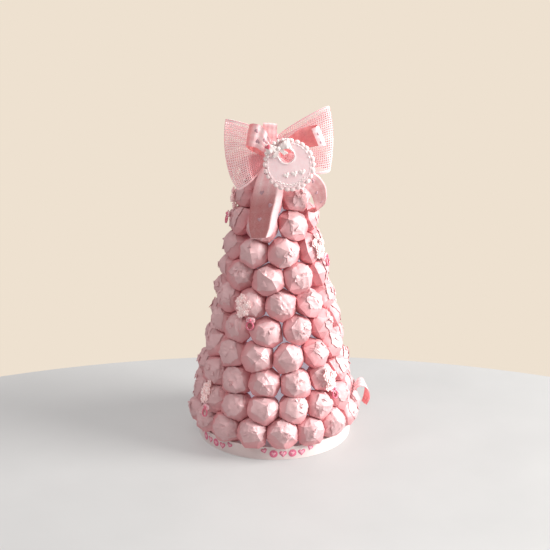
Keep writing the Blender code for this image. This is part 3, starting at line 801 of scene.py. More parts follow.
HEART = [
    (
        16 * sin(t) ** 3 / 34,
        (13 * cos(t) - 5 * cos(2 * t) - 2 * cos(3 * t) - cos(4 * t)) / 34,
    )
    for t in np.linspace(0, tau, 24, endpoint=False)
]
DOT = [(0.5 * cos(t), 0.5 * sin(t)) for t in np.linspace(0, tau, 20, endpoint=False)]
INK_EDGE = 0.12 * MM  # how far a print's edge drops to the ribbon
INK_LIFT = 0.15 * MM  # clears the waves of the drum's ribbon


def outline_rings(outline, x, y, size, turn, place, rings):
    """Points of an outline, turned and placed on a surface, at each ring's scale and lift."""
    c, s = cos(turn), sin(turn)
    points = []
    for scale, lift in rings:
        for u, v in outline:
            u, v = u * size * scale, v * size * scale
            points.append(place(x + c * u - s * v, y + s * u + c * v, lift))
    return points


def add_motif(parts, outline, x, y, size, place, lift, turn):
    """A flat printed shape: an outline filled from its middle, slightly raised."""
    rings = ((0.92, lift), (1.0, lift - INK_EDGE))
    points = [place(x, y, lift)] + outline_rings(outline, x, y, size, turn, place, rings)
    count = len(outline)
    faces = [(0, 1 + k, 1 + (k + 1) % count) for k in range(count)]
    faces += quads_turned(grid_faces(2, count, closed_columns=True, first=1))
    parts.add(points, faces)


def on_drum(x, y, lift):
    """A point on the drum's ribbon: x round it from the front and y above the table."""
    return on_round(DRUM_RADIUS + GAP + RIBBON_EDGE + INK_LIFT + lift, x / DRUM_RADIUS, y)


def add_drum_print(dark, light):
    """Hearts and dots in groups round the drum's ribbon."""
    outlines, fills = Parts(), Parts()
    for g in range(5):  # the ribbon's plain overlap takes the place of a sixth
        middle = (8.5 - 84.0 * g) * MM
        for k in range(-2, 4):
            x = middle + k * 9.4 * MM
            end = k in (-2, 3)
            y, size = (10.2 * MM, 6.6 * MM) if end else (7.1 * MM, 8.2 * MM)
            shape, share = (HEART, 0.6) if end or k % 2 == 0 else (DOT, 0.55)
            turn = 0.35 * (1 if k < 0 else -1) if end else 0.0
            add_motif(outlines, shape, x, y, size, on_drum, 0.1 * MM, turn)
            add_motif(fills, HEART, x, y, size * share, on_drum, 0.18 * MM, turn)
    outlines.build("drum_print", dark, "printed_ribbon")
    fills.build("drum_print_inner", light, "printed_ribbon")


# ---------------------------------------------------------------- ribbons

NET_KNOT = Vector((-2.0, -25.7, 304.0)) * MM
NET_DEPTH = 5.0 * MM
NET_LEAN = 0.2
NET_START = 5.5
NET_EASE = 0.175
# Side, reach at the bottom, middle and top, and the bottom and top edges, all in mm; an edge
# has its pinch at the knot, its flare, the length the flare takes, and its slope
NET_LOBES = {
    "left": (-1, (34.0, 45.0, 44.8), (6.0, 3.5, 10.0, 0.79), (6.0, 10.0, 5.0, 0.335)),
    "right": (1, (55.6, 58.3, 54.2), (6.0, 13.5, 12.0, 0.0), (6.0, 5.6, 5.0, 0.59)),
}
NET_THREADS = 29  # cells across the ribbon
NET_CELL = 2.25  # length of a cell round the lobe, in mm
NET_OPEN = 0.62  # side of a hole as a share of its cell
NET_TUCK_DEPTH = 3.0 * MM
# Painted shade: the share of deep pink laid on the whole rear layer.
NET_REAR_SHADE = 0.85  # the rear layer is seen in shade through the holes
NET_THICKNESS = 0.4 * MM
NET_FOLD, NET_FOLDS, NET_FOLD_RUN = 1.6 * MM, 2.5, 14  # folds from the knot out, in mm
NET_WAVE = 0.9 * MM  # the slow waves further out


def net_edge(edge, out):
    pinch, flare, length, slope = edge
    return pinch + flare * (1 - exp(-out / length)) + slope * out


def tuck_at(side, out, height):
    """How deep the left lobe's front is tucked in below the satin loop, from 0 to 1."""
    if side > 0:
        return 0.0
    bend = 22.5 - 0.02 * (height + 12) ** 2
    inside = ease(out, 5.0, 9.0) * (1 - ease(out, bend - 1.5, bend + 1.5))
    return float(inside * ease(-height, 1.0, 5.0) * (1 - ease(-height, 24.0, 30.0)))


def place_on_lobe(lobe, u, v):
    """A point of a lobe: u goes out along its front and back along its rear, v goes up."""
    side, (low, middle, high), lower, upper = lobe
    across = 2 * v - 1
    bow = (high + low) / 2 - middle
    reach = middle + (high - low) / 2 * across + bow * across**2
    start = asin(NET_START / reach)
    turn = np.linspace(start, pi - start, 60)
    steps = np.diff([reach * np.sin(turn), NET_DEPTH / MM * np.sin(2 * turn)])
    run = np.concatenate([[0.0], np.cumsum(np.hypot(*steps))])
    turn = float(np.interp(u * run[-1], run, turn))
    out = reach * sin(turn)
    wide = 1 + NET_EASE * cos(turn)
    bottom = -net_edge(lower, out) * wide
    height = bottom + (net_edge(upper, out) * wide - bottom) * v
    near = exp(-out / NET_FOLD_RUN)
    fold = NET_FOLD * sin(tau * NET_FOLDS * v) * near * (1 if u < 0.5 else -0.6)
    wave = NET_WAVE * sin(9 * v + 3 * u) * (1 - near)
    depth = NET_LEAN * min(0.0, height) * MM - NET_DEPTH * sin(2 * turn)
    depth += NET_TUCK_DEPTH * tuck_at(side, out, height) * (1 if u < 0.5 else 0)
    return np.array(NET_KNOT) + np.array((side * out * MM, depth + fold + wave, height * MM))


def net_lobe(lobe):
    """Points, faces and attributes of one lobe: cells with a hole between flat yarns."""
    cells = round(2 * lobe[1][1] / NET_CELL)
    rows, columns = cells + 1, NET_THREADS + 1
    size = rows * columns
    grid = [[(i / cells, j / NET_THREADS) for j in range(columns)] for i in range(rows)]
    middle = np.array([[place_on_lobe(lobe, u, v) for u, v in row] for row in grid])
    run = run_along(middle[:, columns // 2])
    across = np.tile(np.linspace(-0.5, 0.5, columns), rows)
    points, faces, ribbon = sheet_mesh(middle, NET_THICKNESS, np.repeat(run, columns), across)
    # The third value is painted shade: the rear layer's share, then on the front layer how deep
    # its fold is tucked under the satin loop.
    ribbon[:, 2] = NET_REAR_SHADE
    for half in (ribbon[:size], ribbon[size:]):
        for k, place in enumerate(middle.reshape(-1, 3)[: (size + 1) // 2]):
            out, _, height = (place - np.array(NET_KNOT)) / MM
            half[k, 2] = tuck_at(lobe[0], lobe[0] * out, height)
    holes = {(i, j) for i in range(1, cells - 1) for j in range(1, NET_THREADS - 1)}
    closed = [(i, j) not in holes for i in range(cells) for j in range(NET_THREADS)]
    count, total = len(closed), len(points)
    kept = [f for f, solid in zip(faces, closed * 2) if solid] + faces[2 * count :]
    points, ribbon = [points], [ribbon]
    for i, j in sorted(holes):
        first = i * columns + j
        outer = (first, first + 1, first + columns + 1, first + columns)
        for layer in (0, size):
            at = [layer + k for k in outer]
            corners = points[0][at]
            centre = corners.mean(axis=0)
            points.append(centre + (corners - centre) * NET_OPEN)
            ribbon.append(ribbon[0][at])
        front, back = total, total + 4
        for k in range(4):
            n = (k + 1) % 4
            kept.append((outer[k], outer[n], front + n, front + k))
            kept.append((size + outer[n], size + outer[k], back + k, back + n))
            kept.append((front + k, front + n, back + n, back + k))
        total += 8
    width = np.linalg.norm(np.diff(middle, axis=1), axis=2).sum(axis=1).max()
    yarn = width * run[-1] * (1 - NET_OPEN**2 * len(holes) / count)
    return np.concatenate(points), kept, np.concatenate(ribbon), (width, run[-1]), yarn


def add_net_bow(material):
    """Two lobes of open gauze and the gathered knot between them."""
    look = (material, "net_ribbon", ["net_bow"])
    for name, lobe in NET_LOBES.items():
        points, faces, ribbon, flat, yarn = net_lobe(lobe)
        piece = add_piece("net_lobe_" + name, points, faces, *look, {"ribbon": ribbon}, sharp=40)
    points, faces = ellipsoid(NET_KNOT, np.array((8.0, 10.8, 8.0)) * MM, 32, 20)
    centre = np.array(NET_KNOT)
    offset = points - centre
    turn = np.arctan2(offset[:, 2], offset[:, 0])
    points = centre + offset * (1 + 0.06 * np.sin(9 * turn))[:, None]
    # The third value of 1 gives the knot the net's deep pink all over.
    ribbon = np.stack([turn * 0.006, 0.3 * np.sin(turn), np.ones(len(points))], -1)
    add_piece("net_knot", points, faces, *look, {"ribbon": ribbon})


SATIN_KNOT = Vector((-0.5, -42.1, 304.0)) * MM
SATIN_THICKNESS = 0.45 * MM
SATIN_CAMBER = 0.45 * MM
PLEAT_LIMIT = 1.5 * MM
PLEAT_RUN = 9.0 * MM  # how far from the knot the pleats fade
BUCKLE_RUN = 1.5 * MM
SATIN_ALONG, SATIN_ACROSS = 80, 24
# Rows of middle point, direction across and width, in mm
SATIN_ROUTES = {
    "satin_loop_left": (
        (-3, -44.8, 306, 0.1, 0.1, 1, 12), (-7, -47, 315, 0.1, 0.1, 1, 19),
        (-14, -47.6, 322.5, 0.15, 0.05, 1, 22.5), (-21, -46.6, 324.5, 0.2, 0.05, 1, 22),
        (-25, -43, 323.5, 0.2, 0, 1, 21.5), (-22.5, -39.8, 318.6, 0.1, 0, 1, 21),
        (-14, -39.8, 311.5, 0.1, 0, 1, 15.5), (-3, -41.5, 305, 0.1, 0, 1, 10),
    ),
    "satin_loop_right": (
        (4, -41, 306, 0, 0, 1, 10), (13, -40.5, 312, -0.1, 0, 1, 14.5),
        (23, -40, 318, -0.15, 0, 1, 18.5), (33, -39.5, 321, -0.25, 0, 0.97, 20.5),
        (41, -39.8, 322.5, -0.33, 0, 0.94, 21), (45.3, -42.2, 323.3, -0.35, 0, 0.94, 20.5),
        (43.2, -45.4, 322.8, -0.36, 0, 0.93, 20), (38.6, -46.2, 321.6, -0.38, 0, 0.92, 19.5),
    ),
    "satin_loop_upright": (
        (-2.5, -40.8, 307, 1, 0, 0, 8), (-4.5, -40.6, 319, 1, 0, 0.1, 13),
        (-4.2, -38.6, 332.5, 1, -0.1, 0, 13.5), (-3.8, -35.2, 331, 1, -0.2, -0.1, 12.5),
        (-3, -34.6, 320, 1, 0, 0, 9), (-1.5, -38.6, 308, 1, 0, 0, 7),
    ),
    "satin_tail_left": (
        (-2.5, -42.8, 300, 1, -0.1, 0.1, 9), (-3.5, -44.2, 290, 1, -0.1, 0.1, 20),
        (-4.7, -44.6, 278, 1, -0.1, 0.05, 27), (-7.2, -44.2, 262, 1, -0.1, 0, 29.5),
        (-10.5, -44.2, 246, 1, -0.1, 0, 28), (-12.2, -45.4, 232, 1, -0.1, 0, 25),
        (-14.2, -45.8, 220.5, 1, -0.1, -0.1, 17),
    ),
    "satin_tail_right": (
        (1.5, -42.3, 300.5, 0.6, 0, 0.8, 8), (10, -42.6, 293, 0.6, 0, 0.8, 12),
        (21, -42.4, 286, 0.5, 0, 0.87, 15), (34, -39.5, 278, 0.65, 0.1, 0.75, 17),
        (41.8, -34.5, 268, 0.85, 0.25, 0.45, 16.5), (44.3, -30, 256.5, 0.93, 0.37, 0.1, 14),
        (44.3, -23, 245.5, 0.5, 0.85, 0.1, 12), (39.5, -17, 241.5, 0.1, 1, 0.1, 12),
        (32, -14, 241.5, 0, 1, 0.1, 11),
    ),
}
SIDE_LOOP = (
    (82.5, -12, 51, 0, -0.94, -0.3, 10), (87, -12, 56.5, 0.05, -0.94, -0.35, 12.5),
    (92.5, -12, 56, 0.15, -0.92, -0.35, 13), (96, -12, 48.5, 0.3, -0.92, -0.15, 13),
    (95.6, -12, 40, 0.4, -0.9, 0, 13), (93.2, -12, 33, 0.4, -0.9, 0, 11),
)
SIDE_LOOP_WIDTH = 13.0 * MM
# Each strip's width before it was pleated, in mm, and what ribbon_strip says of its looks;
# deep and shade there lay painted shade
SATIN_LOOKS = {
    "satin_loop_left": (23.0, {"both": True, "buckle": 0.65, "deep": (0.5, 0.07)}),
    "satin_loop_right": (23.0, {"deep": (0.79, 0.07)}),
    "satin_loop_upright": (13.0, {}),
    "satin_tail_left": (29.0, {"face": 1.0, "cut": 0.07, "fold": (0.28, 4.0), "shade": 0.85}),
    "satin_tail_right": (18.0, {"face": 1.0, "cut": 0.07, "fold": (0.44, 0.8), "shade": 0.7}),
}
# Printed hearts: place along from 0 to 1, across from -0.5 to 0.5, size in mm and turn
SATIN_HEARTS = {
    "satin_loop_left": ((0.2, 0.05, 5, 1.2), (0.31, -0.2, 5.4, 1.5), (0.36, 0.22, 5, 1.9)),
    "satin_loop_right": ((0.9, -0.28, 3.6, 1.4), (0.88, 0.15, 3.6, 1.8)),
    "satin_loop_upright": (),
    "satin_tail_left": (
        (0.22, -0.18, 4.6, 0.3), (0.33, 0.2, 4.6, -0.2), (0.46, -0.2, 4.8, 0.2),
        (0.6, 0.16, 4.8, -0.3), (0.75, -0.12, 4.6, 0.1),
    ),
    "satin_tail_right": ((0.42, 0.1, 4, 0.8), (0.55, -0.15, 4, 0.4), (0.69, 0.1, 3.6, 0.2)),
}


def ribbon_strip(
    route, width, along=SATIN_ALONG, across=SATIN_ACROSS, cut=0.0, pleats=3.0, both=False,
    face=0.0, fold=(0.0, 0.0), shade=0.0, deep=None, buckle=0.2,
):
    """A satin strip along a route; where it is narrower than the ribbon it is pleated.

    cut is how far its end slants; both, whether it is pleated at both ends; face, 1 if the
    pale face is its first side; fold, the place across and the height in mm of a ridge along
    it; shade, how strongly painted shade darkens one side of the ridge; deep, the middle and
    half length of the turn coloured deeper by painted shade, as shares of the run; buckle,
    the height of its waves in mm.
    """
    middle = np.zeros((along + 1, across + 1, 3))
    wide = np.zeros((along + 1, 1))
    for i in range(along + 1):
        for j in range(across + 1):
            v = j / across
            row = smooth_row(route, i / along * (1 - cut * v))
            middle[i, j] = (row[:3] + unit(row[3:6]) * row[6] * (v - 0.5)) * MM
            if j == across // 2:
                wide[i] = row[6] * MM
    ahead = unit(np.gradient(middle, axis=0))
    normal = unit(np.cross(ahead, unit(np.gradient(middle, axis=1))))
    run = run_along(middle[:, across // 2])
    v = np.linspace(-0.5, 0.5, across + 1)[None, :]
    spare = np.clip(width / wide - 1, 0.0, 2.0)
    height = np.minimum(wide / (tau * pleats) * 2.0 * np.sqrt(spare), PLEAT_LIMIT)
    near = np.exp(-run / PLEAT_RUN)
    if both:
        near = np.maximum(near, np.exp(-(run[-1] - run) / PLEAT_RUN))
    pleat = height * near[:, None] * np.cos(tau * pleats * (v + 0.07 * np.sin(5 * v)))
    camber = SATIN_CAMBER * (4 * v**2 - 0.5) * np.exp(-spare * 6)
    place, size = fold
    tent = np.minimum((v + 0.5) / (place + 0.5), (0.5 - v) / (0.5 - place))
    ridge = size * MM * (tent - 0.5) * ease((run / run[-1])[:, None], 0.12, 0.35)
    waves = buckle * MM * np.sin(run / BUCKLE_RUN + 1.2 * v.T).T
    middle = middle + normal * (pleat + camber + ridge + waves)[:, :, None]
    lengths, places = np.repeat(run, across + 1), np.tile(v.ravel(), along + 1)
    points, faces, ribbon = sheet_mesh(middle, SATIN_THICKNESS, lengths, places)
    ribbon[:, 2] = face - (2 * face - 1) * (1 - ribbon[:, 2])
    s = ribbon[:, 0] / run[-1]
    # Painted shade: near the turn given by deep the face value drops, so the turn takes the deep
    # colour.
    if deep:
        ribbon[:, 2] *= 1 - 0.9 * np.exp(-(((s - deep[0]) / deep[1]) ** 2))
    # Painted shade: the side of the ridge across below its place darkens, from a fifth of the run
    # and fully from three fifths on.
    shaded = ease(-ribbon[:, 1], -place - 0.03, -place + 0.03) * ease(s, 0.2, 0.6)
    return points, faces, {"ribbon": ribbon, "shade": shade * shaded}, run[-1]


def print_on_strip(parts, hearts, points, face):
    """Small hearts lying on the pale side of a strip."""
    side = len(points) // 2
    grid = points[:side] if face else points[side:]
    grid = grid.reshape(SATIN_ALONG + 1, SATIN_ACROSS + 1, 3)
    normal = unit(np.cross(np.gradient(grid, axis=0), np.gradient(grid, axis=1)))
    if not face:
        normal = -normal
    length = run_along(grid[:, SATIN_ACROSS // 2])[-1]
    width = np.linalg.norm(np.diff(grid, axis=1), axis=2).sum(axis=1)

    def at(field, s, v):
        i, j = s * SATIN_ALONG, (v + 0.5) * SATIN_ACROSS
        a, b = min(int(i), SATIN_ALONG - 1), min(int(j), SATIN_ACROSS - 1)
        f, g = i - a, j - b
        low = field[a, b] * (1 - g) + field[a, b + 1] * g
        high = field[a + 1, b] * (1 - g) + field[a + 1, b + 1] * g
        return low * (1 - f) + high * f

    for s, v, size, turn in hearts:
        wide = width[int(s * SATIN_ALONG)]

        def on_strip(x, y, lift, s=s, v=v, wide=wide):
            where = (s - y / length, v + x / wide)
            return at(grid, *where) + at(normal, *where) * (lift + 0.1 * MM)

        add_motif(parts, HEART, 0.0, 0.0, size * MM, on_strip, 0.08 * MM, turn)


def add_satin_bow(material, ink):
    """Three loops, two tails with printed hearts, and the knot."""
    look = (material, "satin_ribbon", ["satin_bow"])
    prints = Parts()
    for name, route in SATIN_ROUTES.items():
        width, looks = SATIN_LOOKS[name][0] * MM, SATIN_LOOKS[name][1]
        points, faces, values, whole = ribbon_strip(route, width, **looks)
        piece = add_piece(name, points, faces, *look, values, sharp=50)
        print_on_strip(prints, SATIN_HEARTS[name], points, "face" in looks)
    prints.build("satin_print", ink, "satin_ribbon")
    points, faces = ellipsoid(SATIN_KNOT, np.array((6.8, 4.6, 7.4)) * MM, 36, 22)
    centre = np.array(SATIN_KNOT)
    offset = points - centre
    x = offset[:, 0] / MM
    points = centre + offset * (1 + 0.05 * np.sin(x * 1.7) + 0.03 * np.sin(x * 3.1 + 1))[:, None]
    ribbon = np.stack([offset[:, 2], offset[:, 0] / (16 * MM), np.full(len(points), 0.3)], -1)
    add_piece("satin_knot", points, faces, *look, {"ribbon": ribbon})


# ---------------------------------------------------------------- the bib

BIB_RADIUS = 21.8 * MM
BIB_TALL = 1.06
BIB_THICKNESS = 3.4 * MM
BIB_MATRIX = Matrix.Translation(Vector((13.9, -51.0, 296.6)) * MM)
BIB_MATRIX = BIB_MATRIX @ Matrix.Rotation(radians(-15.0), 4, "Y")
BIB_AXES = np.array(BIB_MATRIX.to_3x3())
BIB_ROWS, BIB_COLUMNS = 26, 96
BIB_HOLE_RADIUS = 7.2 * MM
BIB_HOLE_UP = 9.9 * MM
BIB_SCALLOPS = 26
# Beside each scallop lies a bead: how far each is beyond the outline and its half axes, in
# mm, and its shift along the edge
BIB_EDGE = ((0.7, (2.5, 1.5, 2.9), 0.0), (-1.6, (0.8, 1.9, 0.8), 0.5))
BIB_HEARTS = ((-5.0, -8.7, 6.2, 0.1), (2.8, -9.1, 6.6, 0.0), (10.4, -9.5, 6.2, -0.1))
BIB_LOOP_LIFT = 4.1 * MM  # from the plate's face to the front of the bow's loops
BIB_BOW_PLACE = Vector((-5.4, -4.4, 18.8)) * MM
BIB_LOOP = (
    (0.6, 0, 0.3, 0, 0, 1, 3), (4, -0.9, 1.6, 0.1, 0, 1, 6.5), (9, -1.2, 2.6, 0.1, 0.2, 1, 9),
    (11.6, 0.2, 2.2, 0, 0.2, 1, 9.4), (8.6, 1.4, 1.2, 0, 0, 1, 7.8), (3.6, 1, 0.4, 0, 0, 1, 4.6),
    (0.6, 0.2, 0, 0, 0, 1, 3),
)
BIB_TAIL = (
    (0.8, -0.2, -0.6, 0.7, 0, 0.5, 2.6), (2.4, -0.9, -2.6, 0.8, 0, 0.4, 3.6),
    (4.2, -1.1, -4.8, 0.9, 0, 0.3, 4.4), (5.4, -0.8, -6.8, 0.95, 0, 0.2, 4.8),
)
# A line of pearls over the top of the plate and round the bow: x, y and size, in mm
BIB_PEARLS = (
    (-17.4, 13.5, 1.5), (-18, 17.2, 1.7), (-15.8, 20, 1.5), (-11.6, 23.4, 1.6), (-8, 24.8, 1.8),
    (-4, 25.8, 1.5), (0.6, 25.6, 1.7), (-11.8, 11.8, 1.4), (-8, 11, 1.2), (1.2, 19.6, 1.3),
    (3.4, 18, 1.3), (4.9, 15.9, 1.2), (6.2, 13.6, 1.2), (5, 24.4, 1.6), (9.2, 22.4, 1.4),
)
RAISED = 1.0 * MM


def on_bib(x, y, lift):
    """A point on the plate's face: x across, y up, lift out from the face."""
    return tuple(BIB_MATRIX @ Vector((x, -(BIB_THICKNESS / 2 + lift), y)))


def bib_outline(angle, beyond=0.0):
    """A point on the plate's oval outline, in its own frame, or some way outside it."""
    reach = BIB_RADIUS + beyond
    return np.array((reach * cos(angle), reach * BIB_TALL * sin(angle)))


def bib_ring(t):
    """Places round the plate, t of the way from the neck hole to the outline."""
    for a in turns(BIB_COLUMNS):
        inner = (0.0, BIB_HOLE_UP) + BIB_HOLE_RADIUS * np.array((cos(a), sin(a)))
        yield inner + (bib_outline(a) - inner) * t


def add_bib(resin, lace, white, rose):
    """A round plate with a neck hole, a scalloped edge, hearts and a lace bow with pearls."""
    half = BIB_THICKNESS / 2
    points = []
    for i in range(BIB_ROWS):
        t = i / (BIB_ROWS - 1)
        for x, y in bib_ring(t):
            r = hypot(x, y / BIB_TALL) / BIB_RADIUS
            dome = (0.35 - 0.5 * r**2) * MM
            bead = 0.55 * MM * exp(-(((t - 0.045) / 0.035) ** 2))
            rim = 0.3 * MM * exp(-(((r - 0.95) / 0.03) ** 2))
            round_off = -1.1 * MM * (1 - sqrt(max(0.0, 1 - max(0.0, (r - 0.95) / 0.05) ** 2)))
            points.append((x, -(half + dome + bead + rim + round_off), y))
    for t, inward in ((1.0, 0.6 * MM), (0.97, 0.0), (0.5, 0.0), (0.0, 0.0)):
        points += [(x, half - inward, y) for x, y in bib_ring(t)]
    points = [tuple(BIB_MATRIX @ Vector(p)) for p in points]
    faces = grid_faces(BIB_ROWS + 4, BIB_COLUMNS, True, True)
    add_piece("bib_plate", points, faces, resin, "resin_plate", ["bib_charm"], sharp=60)
    add_bib_edge(lace, rose)
    add_bib_relief(white)
    add_bib_bow(white, rose)


def add_bib_edge(lace, rose):
    """Scallops round the plate, each with a bead beside it, over a deep pink cord that paints the
    shade in the gaps between them.
    """
    beads = Parts()
    rng = random.Random(5)
    for k in range(BIB_SCALLOPS):
        for beyond, size, shift in BIB_EDGE:
            a = tau * (k + shift + rng.uniform(-0.08, 0.08)) / BIB_SCALLOPS
            x, z = bib_outline(a, beyond * MM)
            grow = rng.uniform(0.92, 1.08) * MM
            spin = np.array(Matrix.Rotation(-a, 3, "Y"))
            shape = BIB_AXES @ spin @ np.diag(np.array(size) * grow)
            bead, faces = ellipsoid(BIB_MATRIX @ Vector((x, -0.5 * MM, z)), shape, 20, 12)
            middle = bead.mean(axis=0)
            local = (bead - middle) @ BIB_AXES
            spread = np.arctan2(local[:, 2], local[:, 0]) - a
            beads.add(middle + (bead - middle) * (1 + 0.07 * np.cos(7 * spread))[:, None], faces)
    beads.build("bib_beads", lace, "lace", ["bib_lace_edge"])
    # Painted shade: a deep pink cord under the scallops shows as dark gaps between them.
    line = [bib_outline(a, 0.5 * MM) for a in turns(120)]
    line = [BIB_MATRIX @ Vector((x, 0.4 * MM, z)) for x, z in line]
    add_piece("bib_painted_shade_cord", *tube(line, 1.3 * MM, closed=True), rose, "lace")


def add_bib_relief(white):
    """Three raised hearts, a wavy line below them and a white rim under the neck hole, a painted
    highlight on its lit edge.
    """
    relief = Parts()
    for x, y, size, turn in BIB_HEARTS:
        add_raised(relief, x * MM, y * MM, size * MM, on_bib, turn)
    wave = []
    for k in range(90):
        a = radians(218 + 92 * k / 89)
        wave.append(on_bib(*bib_outline(a, (-3.4 + 0.6 * sin(k * 0.62)) * MM), 0.0))
    relief.add(*tube(wave, 0.42 * MM))
    # Painted highlight: a white ridge along the lower edge of the neck hole.
    rim, reach = [], BIB_HOLE_RADIUS + 0.9 * MM
    for k in range(40):
        a = radians(200 + 140 * k / 39)
        rim.append(on_bib(reach * cos(a), BIB_HOLE_UP + reach * sin(a), 0.45 * MM))
    relief.add(*tube(rim, 0.62 * MM * np.sin(np.linspace(0.35, pi - 0.35, 40))))
    relief.build("bib_hearts", white, "resin_plate")


def add_bib_bow(white, rose):
    """A small frilled bow over the top of the plate, with pearls and a rose-pink heart."""
    bow, heart = Parts(), Parts()
    middle = np.array(BIB_BOW_PLACE) / MM
    for side in (-1, 1):
        add_small_ribbon(bow, BIB_LOOP, middle, side, 0.55)
        add_small_ribbon(bow, BIB_TAIL, middle, side, 0.3)
    knot = BIB_MATRIX @ Vector(middle * MM)
    bow.add(*ellipsoid(knot, BIB_AXES @ np.diag((2.0 * MM, 1.7 * MM, 2.3 * MM)), 16, 10))
    for x, y, size in BIB_PEARLS:
        pearl = on_bib(x * MM, y * MM, size * MM - 0.4 * MM)
        bow.add(*ellipsoid(pearl, np.full(3, size * MM), 12, 8))
    bow.build("bib_ribbon_bow", white, "lace", ["bib_bow"])

    def on_loop(x, y, lift):
        return on_bib(x, y, lift + BIB_LOOP_LIFT)

    add_raised(heart, -14.8 * MM, 23.2 * MM, 5.4 * MM, on_loop, 0.3)
    heart.build("bib_rose_heart", rose, "pink_plastic")


def add_small_ribbon(parts, rows, middle, side, frill):
    """A strip in the bib's own frame, in mm, mirrored for each side, with a wavy edge."""
    along, across = 36, 6
    grid = np.zeros((along + 1, across + 1, 3))
    for i in range(along + 1):
        for j in range(across + 1):
            row = smooth_row(rows, i / along)
            v = j / across - 0.5
            place = row[:3] + unit(row[3:6]) * row[6] * v
            place[1] += frill * sin(i * 1.25) * (2 * v) ** 2 * copysign(1, v)
            place[0] *= side
            grid[i, j] = BIB_MATRIX @ Vector((place + middle) * MM)
    points, faces, _ = sheet_mesh(grid[:, ::-1] if side < 0 else grid, 0.4 * MM)
    parts.add(points, faces)


def add_raised(parts, x, y, size, place, turn):
    """A plump raised heart with a rounded top."""
    rings = ((1.0, -0.5), (1.0, 0.35), (0.93, 0.72), (0.78, 0.93), (0.5, 1.0))
    rings = [(scale, level * RAISED) for scale, level in rings]
    points = outline_rings(HEART, x, y, size, turn, place, rings)
    points.append(place(x, y, RAISED * 1.02))
    count, last = len(HEART), len(points) - 1
    faces = grid_faces(len(rings), count, closed_columns=True)
    faces += [(last - count + k, last - count + (k + 1) % count, last) for k in range(count)]
    parts.add(points, faces)


# ---------------------------------------------------------------- toppings

# Each flower's turn from the front in degrees and height in mm; its charm hangs below it
TOPPINGS = (
    (-93, 251), (60, 210), (-31, 157), (45, 81), (-58, 62), (100, 150), (160, 215), (-140, 165),
    (170, 92),
)
# A flower's blossoms: place across and up, and size, in mm: a short spray that hangs down
BLOSSOMS = (
    (0.4, 8.4, 4), (-3, 4.2, 4.4), (3.2, 2.6, 4.6), (-1.6, -1.4, 4.8), (2.8, -4.8, 4.2),
    (-1.4, -8.2, 3.8),
)
# A blossom's rows of petals: how many, their reach, rise and length, in blossom sizes
PETALS = ((6, 0.62, 0.2, 0.5), (5, 0.36, 0.42, 0.36))
BLOSSOM_SINK = 0.6 * MM
CHARM_DROP = 15.5 * MM
CHARM_SWAY = 7.0 * MM
SETTLE_REACH = 80 * MM
SPIN = 6.3  # at least a full turn


def tree_of(objects):
    points, faces = [], []
    for obj in objects:
        first = len(points)
        points += [tuple(v.co) for v in obj.data.vertices]
        faces += [[first + i for i in p.vertices] for p in obj.data.polygons]
    return BVHTree.FromPolygons(points, faces)


def topping_frame(angle, height):
    """A frame well outside the balls: its X is sideways, Y up the cone and Z outward."""
    placed = Matrix(cone_frame(angle)).transposed().to_4x4()
    radius = cone_radius(height) + 3 * BALL_RADIUS
    placed.translation = around(angle)[0] * radius + Vector((0, 0, height))
    return placed


def settle(points, inward, tree, sink=0.0):
    """Moves points inward until the first of them all but touches the balls."""
    tried = points[:: max(1, len(points) // 400)]
    falls = [tree.ray_cast(Vector(p), inward, SETTLE_REACH)[3] for p in tried]
    fall = min(f for f in falls if f is not None)
    return points + np.array(inward) * (fall - GAP + sink)


def blossom_parts(rng, size):
    """One gathered lace blossom in its own frame: two rows of cupped petals and a pearl."""
    lace, pearl = Parts(), Parts()
    for count, reach, rise, long in PETALS:
        start = rng.uniform(0, SPIN)
        for k in range(count):
            a = start + tau * (k + rng.uniform(-0.12, 0.12)) / count
            spin = Matrix.Rotation(a, 3, "Z") @ Matrix.Rotation(-rng.uniform(0.2, 0.6), 3, "Y")
            shape = np.array(spin @ Matrix.Diagonal((long, long * 0.72, 0.13))) * size * MM
            middle = np.array((reach * cos(a), reach * sin(a), rise)) * size * MM
            points, faces = ellipsoid((0, 0, 0), (1, 1, 1), 18, 8)
            level = np.arctan2(points[:, 1], points[:, 0])
            points[:, :2] *= (1 + 0.12 * np.cos(5 * level))[:, None]
            cup = points[:, 0] ** 2 + points[:, 1] ** 2
            points[:, 2] += 0.9 * cup * np.sin(3 * level) ** 2
            lace.add(points @ shape.T + middle, faces)
    pearl.add(*ellipsoid((0, 0, 0.6 * size * MM), np.array((0.2, 0.2, 0.17)) * size * MM, 12, 8))
    return lace, pearl


def charm_parts():
    """A pacifier charm: an oval shield with a knob, and the ring that hangs from it."""
    body, ring = Parts(), Parts()
    shield, faces = ellipsoid((0, 0, 1.9 * MM), np.array((5.0, 3.6, 1.2)) * MM, 32, 16)
    shield[:, 1] *= 1 - 0.22 * np.exp(-((shield[:, 0] / (2.2 * MM)) ** 2))
    body.add(shield, faces)
    for x in (-2.9, 2.9):
        ring.add(*ellipsoid((x * MM, 0, 2.85 * MM), np.array((0.75, 0.75, 0.4)) * MM, 12, 6))
    ring.add(*ellipsoid((0, 0, 3.2 * MM), np.array((1.7, 1.5, 1.5)) * MM, 16, 10))
    line = [(3.5 * MM * cos(a), -5.6 * MM + 3.9 * MM * sin(a), 2.6 * MM) for a in turns(36)]
    ring.add(*tube(line, 0.85 * MM, 10, closed=True))
    return body, ring


def placed_by(matrix, parts):
    return np.array([tuple(matrix @ Vector(p)) for p in np.concatenate(parts.points)])


